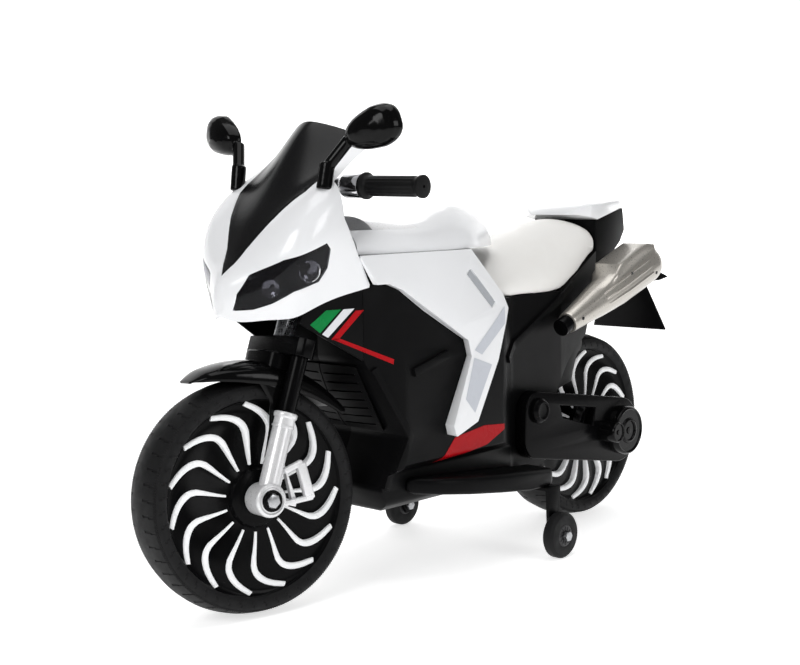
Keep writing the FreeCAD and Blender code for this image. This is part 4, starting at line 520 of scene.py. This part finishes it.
stoppedDeg = {"front": -14.8, "rear": 0}  # where the wheels stopped turning
for prefix, place, hook in (("front", steerPlace, -1), ("rear", rearPlace, 1)):
    place = place @ Matrix.Rotation(math.radians(stoppedDeg[prefix]), 4, "Y")
    for piece, material, node in (
            (treadedTyre(prefix + "TreadedTyre", place), foamRubber, prefix + "_tyre"),
            (fanDisc(prefix + "FanDisc", place, hook), darkAbs, prefix + "_rim"),
            (lightBars(prefix + "LightBars", place, hook), milkyPc, prefix + "_wheel_lights")):
        finished(piece, material, bodyOf[node], (node,))
print("stage: wheels")


def faced(point, axis):
    # A place in millimetres whose sideways axis points along the given direction.
    turn = Vector((0, 1, 0)).rotation_difference(Vector(axis).normalized())
    return Matrix.Translation(Vector(point) * mm) @ turn.to_matrix().to_4x4()


def turned(name, profile, steps, place):
    # A lathe form from (radius, along) pairs in millimetres.
    angle = math.tau / steps

    def spot(column, row):
        radius, along = profile[row]
        return radius * math.cos(angle * column), along, radius * math.sin(angle * column)

    obj, _ = gridPiece(name, 1, len(profile) - 1, spot, (1, 0, 0))
    spunRound(obj, steps)
    outward(obj)
    obj.data.transform(place)
    smoothed(obj, 40)
    return obj


def metOn(obj, start, way):
    # Where a straight line in millimetres first meets a piece, and which way the surface faces there.
    mesh = obj.data
    tree = BVHTree.FromPolygons([v.co for v in mesh.vertices], [tuple(p.vertices) for p in mesh.polygons])
    place, normal, _, _ = tree.ray_cast(Vector(start) * mm, Vector(way).normalized())
    return place / mm, normal


def copied(obj, name):
    twin = bpy.data.objects.new(name, obj.data.copy())
    bpy.context.scene.collection.objects.link(twin)
    return twin


# Side panels: the leg's front edge drawn back to a slim knee with its inner side tucked under. Each end of the
# slot is found by its range in x and z, shifted along x to slant the slot, and spread across it.
sidePanel = {
    "drawBack": ((214, 12), (232, 16), (300, 24), (330, 26), (356, 24), (372, 18), (402, 6), (415, 0)),
    "frontFrom": ((214, 90), (232, 90), (300, 60), (400, 60), (415, 120)),
    "kneeTop": 415, "mostBack": 26, "innerFrom": 114, "innerDepth": 6, "tuckMm": 7, "edgeMm": 2.2,
    "slotEnds": ((20, 34, 446, 456, 16), (-6, 8, 394, 404, -6)),
    "slotMiddle": (44.6, 0, 453), "slotAcross": (0.736, 0, -0.677), "slotSpread": 0.4,
}
slotMiddle, slotAcross = Vector(sidePanel["slotMiddle"]), Vector(sidePanel["slotAcross"])
for node in ("side_panel_left", "side_panel_right"):
    panel = mergedCopy(node, node + "Moulding")
    for vertex in panel.data.vertices:
        x, y, z = vertex.co / mm
        if z < sidePanel["kneeTop"] and x > between(sidePanel["frontFrom"], z):
            back = between(sidePanel["drawBack"], z)
            inner = min(max((sidePanel["innerFrom"] - abs(y)) / sidePanel["innerDepth"], 0), 1)
            vertex.co.x -= (back + sidePanel["tuckMm"] * inner * back / sidePanel["mostBack"]) * mm
        for left, right, low, high, shift in sidePanel["slotEnds"]:
            if left < x < right and low < z < high:
                vertex.co.x += shift * mm
                aside = (vertex.co / mm - slotMiddle).dot(slotAcross)
                vertex.co += slotAcross * (aside * sidePanel["slotSpread"] * mm)
    bevelled(panel, sidePanel["edgeMm"])
    smoothed(panel)
    finished(panel, whiteAbs, "chassis", (node,))
    mouldings[node] = panel

# Front face: a gently bulged panel with narrow slots across it and the joint of its two halves.
slats = {
    "foot": (191, 230), "top": (244, 327), "bulge": 6, "slots": (0.1, 0.23, 0.36, 0.49, 0.62, 0.75, 0.88),
    "slotMm": 2.6, "slotDeep": 2.6, "slotSpan": (5, 64), "jointHalf": 1, "jointDeep": 1.4,
    "rimMm": 6, "wallMm": 2, "bulgePower": 0.6,
    "acrossMm": (74, 71, 66, 62, 60, 50, 40, 30, 20, 10, 4, 1.2, 0.6),
}


def slattedFace(name):
    low, high = (Vector((x, 0, z)) for x, z in (slats["foot"], slats["top"]))
    length = (high - low).length
    facing = Vector((high.z - low.z, 0, low.x - high.x)).normalized()
    across = [-y for y in slats["acrossMm"]] + [y for y in reversed(slats["acrossMm"])]
    wide = slats["slotMm"] / length
    rows = [(0, -slats["rimMm"], 0), (0, 0, 0)]
    for at in slats["slots"]:
        rows += [(at - wide / 2, 0, 0), (at - wide / 4, 0, 1), (at + wide / 4, 0, 1), (at + wide / 2, 0, 0)]
    rows += [(1, 0, 0), (1, -slats["rimMm"], 0)]

    def spot(column, row):
        share, sunk, slot = rows[row]
        y = across[column]
        rise = slats["bulge"] * math.cos(math.pi * y / 2 / slats["acrossMm"][0])
        rise *= math.sin(math.pi * share) ** slats["bulgePower"]
        if slot and slats["slotSpan"][0] < abs(y) < slats["slotSpan"][1]:
            rise -= slats["slotDeep"]
        if abs(y) < slats["jointHalf"]:
            rise -= slats["jointDeep"]
        return low.lerp(high, share) + facing * (rise + sunk) + Vector((0, y, 0))

    obj, _ = gridPiece(name, len(across) - 1, len(rows) - 1, spot, facing)
    applied(obj, "SOLIDIFY", {"thickness": slats["wallMm"] * mm, "offset": -1.0})
    smoothed(obj, 30)
    return obj


finished(slattedFace("slattedFace"), satinAbs, "chassis", ("front_grille",))
print("stage: panels")

# Headlight bowls: two bright dishes behind each smoked cover, aimed ahead.
bowl = {
    "profile": ((0, 2.6), (2.2, 2.4), (3.2, 1.2), (3.4, 0.2), (6, 0.3), (10, 1.2), (14, 2.9), (17, 4.9),
                (18, 5.4), (19, 5.2), (19.6, 4.0), (19.6, 0)),
    "spots": (((352, 97, 468), 0.78), ((391, 66, 446), 0.62)), "aim": (0.73, 0.66, 0.1),
    "fromMm": 80, "steps": 40,
}
dishes = []
aim = Vector(bowl["aim"])
for spot, share in bowl["spots"]:
    foot, normal = metOn(frame["nodes"]["headlight_trays"], Vector(spot) + aim * bowl["fromMm"], -aim)
    profile = [(r * share, h * share) for r, h in bowl["profile"]]
    dishes.append(turned("lampDish", profile, bowl["steps"], faced(foot, normal + aim)))
lampDishes = bothSides("lampDishes", joined("lampDishes", dishes))
finished(lampDishes, platedAbs, "chassis")
print("stage: headlights")

# Stripes: vinyl film cut to four corners (x, z in millimetres) and laid on the side of the mouldings. The two
# light grey leg sheets are partly print and partly painted shade on the leg's downward facets.
films = (
    ("greenStripe", greenFilm, "black_body_plastic", ((329, 393), (304, 411), (281, 411), (314, 381))),
    ("whiteStripe", whiteFilm, "white_plastic", ((311, 379), (277, 411), (260, 411), (302, 374))),
    ("redStripeUpper", redFilm, "red_lamp", ((297, 371), (258, 408), (245, 408), (287, 369))),
    ("redStripeLower", redFilm, "red_lamp", ((297, 372), (285, 372), (198, 336), (199, 329))),
    ("redBladeFront", redFilm, "red_lamp", ((108, 174), (74, 208), (6, 217), (0, 187))),
    ("redBladeRear", redFilm, "red_lamp", ((6, 217), (-43, 213), (-43, 205), (0, 187))),
    # Leg sheets: light grey print with painted shade on the lower, downward-facing facets of the leg.
    ("legShadeHigh", greyPrintAndPaintedShadeFilm, "white_plastic", ((46, 336), (30, 328), (-28, 370), (-30, 395))),
    ("legShadeLow", greyPrintAndPaintedShadeFilm, "white_plastic", ((48, 325), (71, 266), (52, 244), (8, 311))),
    ("slotStrip", greyAbs, "silver_plastic", ((39.2, 454.4), (47.0, 447.0), (-2.2, 395.8), (-10, 403.2))),
)
filmLay = {"fromMm": 160, "columns": 24, "rows": 10, "liftMm": 0.35, "thickMm": 0.25}
bedNodes = ("body_shell_left", "cowl_wings", "side_panel_left")
filmBed = joined("filmBed", [copied(mouldings[node], "filmBed") for node in bedNodes])
for name, material, slot, corners in films:
    low, high, highEnd, lowEnd = (Vector((x, filmLay["fromMm"], z)) for x, z in corners)

    def spot(column, row):
        near = low.lerp(high, row / filmLay["rows"])
        end = lowEnd.lerp(highEnd, row / filmLay["rows"])
        return near.lerp(end, column / filmLay["columns"])

    sheet, _ = gridPiece(name, filmLay["columns"], filmLay["rows"], spot, (0, 1, 0))
    applied(sheet, "SHRINKWRAP", {
        "target": filmBed, "wrap_method": "PROJECT", "use_project_y": True, "use_negative_direction": True,
        "use_positive_direction": False, "offset": filmLay["liftMm"] * mm})
    applied(sheet, "SOLIDIFY", {"thickness": filmLay["thickMm"] * mm, "offset": 1.0})
    pair = bothSides(name, sheet)
    smoothed(pair, 30)
    finished(pair, material, "chassis")
bpy.data.objects.remove(filmBed)
print("stage: films")

# Seat pad: a soft skin over foam, blown up a little inside its cover and held along its base.
seatPad = {
    "shrink": (0.975, 0.965, 0.955), "voxelMm": 5, "pressure": 4.0, "frames": 20, "capMm": 8,
    "baseFacing": -0.55, "rounds": 4,
}


def paddedSeat():
    pad = mergedCopy("seat", "seatPad")
    low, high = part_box("seat")
    middle = (Vector(low) + Vector(high)) / 2
    middle.z = low[2]
    smaller = Matrix.Diagonal((*seatPad["shrink"], 1.0))
    pad.data.transform(Matrix.Translation(middle) @ smaller @ Matrix.Translation(-middle))
    applied(pad, "REMESH", {"mode": "VOXEL", "voxel_size": seatPad["voxelMm"] * mm, "use_smooth_shade": True})
    before = [vertex.co.copy() for vertex in pad.data.vertices]
    base = pad.vertex_groups.new(name="base")
    base.add([v.index for v in pad.data.vertices if v.normal.z < seatPad["baseFacing"]], 1.0, "REPLACE")
    pick(pad)
    cloth = pad.modifiers.new("cloth", "CLOTH")
    cloth.settings.use_pressure = True
    cloth.settings.uniform_pressure_force = seatPad["pressure"]
    cloth.settings.vertex_group_mass = "base"
    cloth.settings.effector_weights.gravity = 0
    for number in range(1, seatPad["frames"] + 1):
        bpy.context.scene.frame_set(number)
    bpy.ops.object.modifier_apply(modifier="cloth")
    bpy.context.scene.frame_set(1)
    for vertex, start in zip(pad.data.vertices, before):
        move = vertex.co - start
        if move.length > seatPad["capMm"] * mm:
            vertex.co = start + move.normalized() * seatPad["capMm"] * mm
    pad.vertex_groups.clear()
    applied(pad, "SMOOTH", {"factor": 0.5, "iterations": seatPad["rounds"]})
    applied(pad, "SUBSURF", {"levels": 1})
    smoothed(pad, 60)
    return pad


seat = paddedSeat()
finished(seat, seatLeather, "chassis", ("seat",))
print("stage: seat")

# Silencer: a cone that grows a flat-topped box towards the rear, with three long grooves outside.
silencer = {
    "start": (-209, 106, 355), "pitchDeg": 21,
    "rows": ((0, 9, 0), (0, 17, 0), (3, 17.6, 0), (40, 21.5, 0), (83, 27, 0), (112, 30, 0), (124, 31, 0.15),
             (138, 32.6, 1), (166, 33.2, 1), (194, 34, 1), (214, 34.4, 1), (226, 34.6, 0.8), (236, 34, 0.45),
             (244, 32.6, 0.2), (250, 30, 0), (250, 27, 0), (222, 26, 0), (222, 0.5, 0)),
    "columns": 72, "boxHalf": 25, "boxRise": 11, "boxFrom": 0.05,
    "grooveRows": (4, 9), "grooveColumns": (70, 2, 6), "grooveMm": (0.5, -1.6), "edge": (1.2, 38, 2),
}


def silencerPiece(name):
    pitch = math.radians(silencer["pitchDeg"])
    along = Vector((-math.cos(pitch), 0, math.sin(pitch)))
    lifted = Vector((math.sin(pitch), 0, math.cos(pitch)))

    def spot(column, row):
        station, radius, box = silencer["rows"][row]
        angle = math.tau * column / silencer["columns"]
        across, high = math.cos(angle), math.sin(angle)
        if high > silencer["boxFrom"] and box:
            top = (radius + silencer["boxRise"] * box) / high
            radius = max(radius, min(silencer["boxHalf"] / max(abs(across), 0.01), top))
        aside = Vector((0, across * radius, 0))
        return Vector(silencer["start"]) + along * station + aside + lifted * (high * radius)

    obj, cells = gridPiece(name, silencer["columns"], len(silencer["rows"]) - 1, spot, (0, 1, 0))
    first, last = silencer["grooveRows"]
    for column in silencer["grooveColumns"]:
        insetFaces(obj, [cells[(column, row)] for row in range(first, last + 1)], *silencer["grooveMm"])
    welded(obj)
    bevelled(obj, *silencer["edge"])
    smoothed(obj, 34)
    return obj


silencers = bothSides("silencers", silencerPiece("silencers"))
finished(silencers, champagnePaint, "chassis", ("exhausts",))

# Screws: a domed head with a round socket, set where a line from outside (start, way) meets the silencer.
screw = {
    "profile": ((0, 0.2), (0.9, 0.2), (1.1, 1.0), (2.4, 0.9), (3.0, 0.4), (3.0, -1.5)), "steps": 16,
    "lines": (((-226, 180, 361), (0, -1, 0.02)), ((-352, 180, 428), (0, -1, 0)),
              ((-420, 180, 426), (0, -1, 0))),
}
screws = []
for start, way in screw["lines"]:
    foot, normal = metOn(silencers, start, way)
    screws.append(turned("screwHead", screw["profile"], screw["steps"], faced(foot, normal)))
silencerScrews = bothSides("silencerScrews", joined("silencerScrews", screws))
finished(silencerScrews, blackEnamel, "chassis")
print("stage: silencers")

# Mirrors: a rounded shell, swept back and tilted up, on a bent arm, with a silvered sheet behind.
mirror = {
    "centre": (281, 150, 651.5), "reach": (-0.26, 1.0, 0.34), "half": (41, 28), "power": 2.7, "columns": 48,
    "shell": ((0.02, -5.5), (0.88, -5.5), (0.9, -8), (1.0, -8), (1.02, -5), (1.0, 2), (0.9, 10), (0.72, 16),
              (0.45, 20), (0.15, 22), (0.02, 22.3)),
    "sheet": ((0.87, -6.8), (0.6, -7.1), (0.3, -7.3), (0.02, -7.4)),
    "limbs": (((312, 88, 573), (306, 90, 608), 10.5), ((307, 90, 602), (287, 112, 638), 8.6)),
    "limbSteps": 24, "voxelMm": 1.4, "rounds": 7, "sheetMm": 0.8,
}


def mirrorForm(name, rows):
    out = Vector(mirror["reach"]).normalized()
    lifted = (Vector((0, 0, 1)) - out * out.z).normalized()
    front = out.cross(lifted)

    def spot(column, row):
        share, depth = rows[row]
        angle = math.tau * column / mirror["columns"]
        along, high = squared(angle, 2 / mirror["power"])
        taper = 0.7 + 0.3 * min(1, (along + 1) / 1.2)  # lower towards the arm
        return (Vector(mirror["centre"]) + out * (along * mirror["half"][0] * share)
                + lifted * (high * mirror["half"][1] * share * taper) + front * depth)

    obj, _ = gridPiece(name, mirror["columns"], len(rows) - 1, spot, (1, 0, 0))
    welded(obj)
    return obj


parts = [mirrorForm("mirrorHeads", mirror["shell"])]
for start, end, radius in mirror["limbs"]:
    run = Vector(end) - Vector(start)
    profile = ((0.3, 0), (radius, 0), (radius, run.length), (0.3, run.length))
    parts.append(turned("mirrorLimb", profile, mirror["limbSteps"], faced(start, run)))
head = joined("mirrorHeads", parts)
applied(head, "REMESH", {"mode": "VOXEL", "voxel_size": mirror["voxelMm"] * mm, "use_smooth_shade": True})
applied(head, "SMOOTH", {"factor": 0.5, "iterations": mirror["rounds"]})
mirrorHeads = bothSides("mirrorHeads", head)
smoothed(mirrorHeads, 60)
finished(mirrorHeads, glossAbs, "chassis", ("mirrors",))
sheet = mirrorForm("mirrorSheets", mirror["sheet"])
applied(sheet, "SOLIDIFY", {"thickness": mirror["sheetMm"] * mm, "offset": 0.0})
mirrorSheets = bothSides("mirrorSheets", sheet)
smoothed(mirrorSheets, 40)
finished(mirrorSheets, mirrorSheet, "chassis", ("mirror_glasses",))

# Grips: soft rubber with long ribs between the flange and the end knob.
grip = {
    "profile": ((11.2, 52), (17, 52), (18.5, 53.2), (18.5, 56), (16.2, 57.4), (13.6, 60), (13.2, 64),
                (13.2, 66), (13.2, 140), (13.2, 142), (13.4, 147), (15.2, 149), (15.6, 151), (15.4, 153.4),
                (13, 154), (2, 154)),
    "ribRows": (7, 8), "columns": 64, "ribPitch": 4, "ribMm": 0.9,
    "straight": 45, "height": 442, "sweepDeg": 16,
}


def ribbedGrip(name, way):
    lean = math.radians(grip["sweepDeg"])
    along = Vector((-math.sin(lean), way * math.cos(lean), 0))
    start = Vector((0, grip["straight"] * way, grip["height"]))

    def spot(column, row):
        radius, out = grip["profile"][row]
        if row in grip["ribRows"] and column % grip["ribPitch"] < grip["ribPitch"] / 2:
            radius += grip["ribMm"]
        angle = math.tau * column / grip["columns"]
        return radius * math.cos(angle), out, radius * math.sin(angle)

    obj, _ = gridPiece(name, grip["columns"], len(grip["profile"]) - 1, spot, (1, 0, 0))
    welded(obj)
    obj.data.transform(steerPlace @ faced(start, along))
    smoothed(obj, 40)
    return obj


finished(ribbedGrip("leftRibbedGrip", 1), gripRubber, "steering", ("left_grip",))
finished(ribbedGrip("throttleRibbedGrip", -1), gripRubber, "throttle", ("throttle_grip",))
print("stage: handlebar")

# Fork: a rolled rim at each silver leg's top, rings on the axle boss and a black collar round the nut.
forkTrim = {
    "spacing": 55, "steps": 48,
    "rim": ((14.1, 98), (15.4, 99), (15.4, 101), (14.3, 102), (14.3, 111), (15.6, 112), (16.2, 114),
            (16.2, 117.5), (15.2, 119), (12.3, 119)),
    "boss": ((10.6, 71.2), (10.6, 72.4), (13.2, 73.4), (15, 72.2), (16.6, 71.9), (18.6, 73.2), (21, 72.6),
             (22.6, 70.4), (22.9, 66), (22.2, 64)),
    "collar": ((10.2, 71.4), (10.2, 76.4), (11, 77), (13.4, 76.6), (14.4, 75.4), (14.8, 72.6)),
}
upTurn = Matrix.Rotation(math.radians(90), 4, "X")
trims, collars = [], []
for way in (1, -1):
    side = Matrix.Translation(Vector((0, forkTrim["spacing"] * way, 0)) * mm)
    trims.append(turned("legRim", forkTrim["rim"], forkTrim["steps"], steerPlace @ side @ upTurn))
    boss, collar = ([(r, h * way) for r, h in forkTrim[part]] for part in ("boss", "collar"))
    trims.append(turned("bossRings", boss, forkTrim["steps"], steerPlace))
    collars.append(turned("nutCollar", collar, forkTrim["steps"], steerPlace))
finished(joined("forkLegTrim", trims), silverPaint, "steering")
finished(joined("nutCollars", collars), darkAbs, "steering")

# Leg brackets: three cast bars behind each leg, the middle one a thick block. A bar has its two ends (ahead,
# up in the fork's own frame), its width and its thickness. Tips are rounded by (distance, share of the width).
bracket = {
    "bars": (((-14, 42), (-37, 60), 8, 8), ((-35, 58), (-63, 15), 14, 11), ((-66, 18), (-8, -7), 7, 8)),
    "tip": ((0, 0.05), (0, 0.82), (0.8, 0.95), (2.2, 1)), "outMm": 62, "columns": 24, "power": 0.4,
}


def castBar(name, start, end, wide, thick):
    run = Vector((end[0] - start[0], 0, end[1] - start[1]))
    along = run.normalized()
    aside = Vector((along.z, 0, -along.x))
    rows = list(bracket["tip"]) + [(run.length - at, share) for at, share in reversed(bracket["tip"])]

    def spot(column, row):
        station, share = rows[row]
        across, high = squared(math.tau * column / bracket["columns"], bracket["power"])
        middle = Vector((start[0], bracket["outMm"], start[1])) + along * station
        return middle + aside * (across * wide / 2 * share) + Vector((0, high * thick / 2 * share, 0))

    obj, _ = gridPiece(name, bracket["columns"], len(rows) - 1, spot, (0, 1, 0))
    welded(obj)
    smoothed(obj, 35)
    return obj


bars = joined("legBrackets", [castBar("castBar", *spec) for spec in bracket["bars"]])
legBrackets = bothSides("legBrackets", bars)
legBrackets.data.transform(steerPlace)
finished(legBrackets, silverPaint, "steering")

# Front fender: an arched shell with deep skirts beside the fork, on two plate stays. Its tables run over the
# angle from ahead in degrees, and the stay's over its height.
fender = {
    "fromDeg": 44, "toDeg": 124, "turns": 44, "columns": 24, "crownPower": 0.6, "sidePower": 0.85,
    "wallMm": 3, "bevel": (0.9, 50, 2), "stayBevel": (1.2, 50, 2),
    "half": ((44, 15), (47, 25), (52, 35), (60, 42), (72, 46), (124, 46)),
    "crown": ((44, 182), (52, 186), (75, 186), (124, 184)),
    "edge": ((44, 181), (48, 175), (58, 164), (68, 156), (77, 152), (100, 152), (112, 158), (124, 168)),
    "stay": ((54, 9), (95, 13), (129, 22), (152, 50)), "stayBack": -5, "stayOut": 45,
    "stayGrid": (4, 20), "stayMm": 4,
}


def archedFender(name):
    def spot(column, row):
        degrees = fender["fromDeg"] + (fender["toDeg"] - fender["fromDeg"]) * row / fender["turns"]
        lean = math.pi * (column / fender["columns"] - 0.5)
        edge = between(fender["edge"], degrees)
        arch = max(math.cos(lean), 0) ** fender["crownPower"]
        radius = edge + (between(fender["crown"], degrees) - edge) * arch
        y = between(fender["half"], degrees) * math.copysign(abs(math.sin(lean)) ** fender["sidePower"], lean)
        return radius * math.cos(math.radians(degrees)), y, radius * math.sin(math.radians(degrees))

    obj, _ = gridPiece(name, fender["columns"], fender["turns"], spot, (0, 0, 1))
    applied(obj, "SOLIDIFY", {"thickness": fender["wallMm"] * mm, "offset": -1.0})
    bevelled(obj, *fender["bevel"])
    return obj


def plateStay(name):
    low, high = fender["stay"][0][0], fender["stay"][-1][0]
    columns, rows = fender["stayGrid"]

    def spot(column, row):
        up = low + (high - low) * row / rows
        front = between(fender["stay"], up)
        return fender["stayBack"] + (front - fender["stayBack"]) * column / columns, fender["stayOut"], up

    obj, _ = gridPiece(name, columns, rows, spot, (0, 1, 0))
    applied(obj, "SOLIDIFY", {"thickness": fender["stayMm"] * mm, "offset": -1.0})
    bevelled(obj, *fender["stayBevel"])
    return obj


stay = plateStay("fenderStay")
archFender = joined("archedFender", [archedFender("archedFender"), stay, mirroredCopy(stay)])
archFender.data.transform(steerPlace)
smoothed(archFender, 36)
finished(archFender, glossAbs, "steering", ("front_fender",))

# Fender neck: a rounded block under the crown, (height, share of the full width) in the fork's own frame.
neck = {
    "rows": ((173, 0), (173, 0.9), (175, 1), (195, 1), (197.5, 0.94), (197.5, 0)),
    "ahead": 6, "half": (30, 41), "columns": 32, "power": 0.45,
}


def fenderNeck(name):
    def spot(column, row):
        height, share = neck["rows"][row]
        ahead, across = squared(math.tau * column / neck["columns"], neck["power"])
        return neck["ahead"] + ahead * share * neck["half"][0], across * share * neck["half"][1], height

    obj, _ = gridPiece(name, neck["columns"], len(neck["rows"]) - 1, spot, (0, 0, 1))
    welded(obj)
    obj.data.transform(steerPlace)
    smoothed(obj, 35)
    return obj


finished(fenderNeck("fenderNeck"), darkAbs, "steering")
print("stage: fork")

# Rear end: a guard inside the wheel arch, a motor can let into each swingarm and rings on the axle cap.
rearTrim = {
    "guardDeg": ((26, 170), (34, 150), (44, 130), (54, 139), (63, 149), (71, 152)), "guardOuter": 184,
    "guardTurns": 22, "guardRows": 6, "guardFrom": 45, "guardSink": 0.6, "guardCurl": 5, "guardMm": 3,
    "guardBevel": (1, 40, 2),
    "can": ((17.4, 96), (17.4, 136), (16.8, 138.6), (15.6, 140), (13.8, 140), (13, 138.8), (12.6, 137.6),
            (4.4, 137.6), (4, 139), (0.4, 139.2)),
    "canAt": (-310, 0, 165), "steps": 56,
    "ring": ((41, 98), (41, 122), (40, 124.6), (37.6, 126), (35.8, 125.4), (34.4, 123.6), (22, 123.6),
             (21, 125.6), (19.4, 126.8), (17.4, 126.8), (16.2, 125.4), (15.8, 123.8), (6.2, 123.8),
             (5.6, 125.4), (0.4, 125.8)),
}


def archGuard(name):
    first, last = rearTrim["guardDeg"][0][0], rearTrim["guardDeg"][-1][0]
    centre = rearPlace.translation / mm
    wall = []
    for column in range(rearTrim["guardTurns"] + 1):
        degrees = first + (last - first) * column / rearTrim["guardTurns"]
        way = Vector((math.cos(math.radians(degrees)), 0, math.sin(math.radians(degrees))))
        start = centre + way * rearTrim["guardOuter"] + Vector((0, rearTrim["guardFrom"], 0))
        met, _ = metOn(mouldings["body_shell_left"], start, (0, 1, 0))
        wall.append((way, between(rearTrim["guardDeg"], degrees), met.y))

    def spot(column, row):
        way, inner, y = wall[column]
        share = row / rearTrim["guardRows"]
        radius = rearTrim["guardOuter"] + (inner - rearTrim["guardOuter"]) * share
        place = centre + way * radius
        return place.x, y + rearTrim["guardSink"] - rearTrim["guardCurl"] * share ** 2, place.z

    obj, _ = gridPiece(name, rearTrim["guardTurns"], rearTrim["guardRows"], spot, (0, 1, 0))
    applied(obj, "SOLIDIFY", {"thickness": rearTrim["guardMm"] * mm, "offset": -1.0})
    bevelled(obj, *rearTrim["guardBevel"])
    smoothed(obj)
    return obj


finished(bothSides("archGuards", archGuard("archGuards")), satinAbs, "chassis")
canPlace = Matrix.Translation(Vector(rearTrim["canAt"]) * mm)
can = turned("motorCans", rearTrim["can"], rearTrim["steps"], canPlace)
rings = turned("axleRings", rearTrim["ring"], rearTrim["steps"], rearPlace)
finished(bothSides("motorCans", joined("motorCans", [can, rings])), glossAbs, "chassis")

# Training hubs: twelve short ribs round the bolt.
hubRib = {
    "section": ((-0.9, -0.6), (-0.6, 1.1), (0.6, 1.1), (0.9, -0.6)), "foot": -0.6,
    "radii": (7.2, 7.8, 14.4, 15), "count": 12, "faceMm": 178,
}


def ribSpot(column, row):
    across, high = hubRib["section"][column]
    return hubRib["radii"][row], hubRib["foot"] if row in (0, 3) else high, across


ribs, _ = gridPiece("leftHubRibs", 3, 3, ribSpot, (0, 1, 0))
spunRound(ribs, hubRib["count"])
centre = Vector(joints["training_wheel_left_spin"]["pos_m"])
ribs.data.transform(Matrix.Translation((centre.x, hubRib["faceMm"] * mm, centre.z)))
farRibs = mirroredCopy(ribs)
farRibs.name = "rightHubRibs"
for piece, body in ((ribs, "training_wheel_left"), (farRibs, "training_wheel_right")):
    smoothed(piece, 40)
    finished(piece, hubPp, body)
print("stage: rear")

# The photographer's camera: a long lens a little above the bike, turned slightly on its axis.
shot = {
    "eye": (1.5644, 1.3927, 0.5659), "aim": (0.07444, 0.0, 0.32657),
    "rollDeg": -0.81, "lens": 60.87, "shiftY": 0.025,
}
eye = Vector(shot["eye"])
ahead = (Vector(shot["aim"]) - eye).normalized()
right = ahead.cross(Vector((0, 0, 1))).normalized()
up = right.cross(ahead)
roll = math.radians(shot["rollDeg"])
turnedRight = right * math.cos(roll) + up * math.sin(roll)
turnedUp = up * math.cos(roll) - right * math.sin(roll)
deselectAll()
bpy.ops.object.camera_add(location=eye)
camera = bpy.context.object
camera.name = "photoCamera"
facing = Matrix((turnedRight, turnedUp, -ahead)).transposed()
camera.rotation_euler = facing.to_euler()
camera.data.sensor_width = 36
camera.data.sensor_fit = "HORIZONTAL"
camera.data.lens = shot["lens"]
camera.data.shift_y = shot["shiftY"]
camera.data.clip_end = 40
bpy.context.scene.camera = camera

# Seamless white paper: a floor that sweeps up behind the bike.
paper = {"width": 14.0, "front": 3.4, "back": 6.2, "sweep": 1.2, "height": 6.0}
deselectAll()
bpy.ops.mesh.primitive_plane_add(size=1, location=(0, 0, 0))
floor = bpy.context.object
floor.name = "paperFloor"
editAll(floor)
bpy.ops.transform.resize(value=(paper["front"] + paper["back"], paper["width"], 1))
bpy.ops.transform.translate(value=((paper["back"] - paper["front"]) / 2, 0, 0))
bpy.ops.mesh.select_mode(type="EDGE")
bpy.ops.mesh.select_all(action="DESELECT")
editDone()
for edge in floor.data.edges:
    ends = [floor.data.vertices[i].co.x for i in edge.vertices]
    edge.select = min(ends) > paper["back"] - 0.01
bpy.ops.object.mode_set(mode="EDIT")
bpy.ops.mesh.spin(
    steps=16, angle=math.radians(-90), center=(paper["back"], 0, paper["sweep"]), axis=(0, 1, 0))
bpy.ops.mesh.extrude_region_move(TRANSFORM_OT_translate={"value": (0, 0, paper["height"])})
editDone()
outward(floor)
floor.data.transform(Matrix.Rotation(math.atan2(ahead.y, ahead.x), 4, "Z"))
smoothed(floor, 60)
paperWhite = mouldedFinish("White background paper, matt", {
    "tones": ("FAFAFA", "F6F6F6"), "patchMm": 400, "rough": (0.75, 0.85), "grainMm": 2, "grain": 0.02,
    "lit": 0.68})
floor.data.materials.append(paperWhite)

# Soft boxes: a wide one overhead, one beside the camera, one at the left and one behind on the far side.
softBoxes = (
    ("overheadBox", (0.1, 0.2, 2.4), (0.0, 0.0, 0.2), 1.8, 21),
    ("cameraBox", (2.4, 0.5, 1.6), (0.1, 0.0, 0.35), 1.0, 19),
    ("sideBox", (-0.4, 2.6, 1.2), (-0.1, 0.0, 0.3), 1.0, 12),
    ("farBox", (-1.6, -1.8, 1.9), (-0.1, 0.0, 0.3), 1.2, 8),
)
for name, place, aim, size, power in softBoxes:
    deselectAll()
    bpy.ops.object.light_add(type="AREA", location=place)
    light = bpy.context.object
    light.name = name
    light.rotation_euler = (Vector(aim) - Vector(place)).to_track_quat("-Z", "Y").to_euler()
    light.data.size = size
    light.data.energy = power
world = bpy.data.worlds.new("studioRoom")
bpy.context.scene.world = world
world.use_nodes = True
world.node_tree.nodes.clear()
room = addNode(world.node_tree, "ShaderNodeBackground", {}, {"Color": (1, 1, 1, 1), "Strength": 0.14})
addNode(world.node_tree, "ShaderNodeOutputWorld", {}, {"Surface": room.outputs["Background"]})
bpy.context.scene.view_settings.view_transform = "Standard"
print("stage: studio")
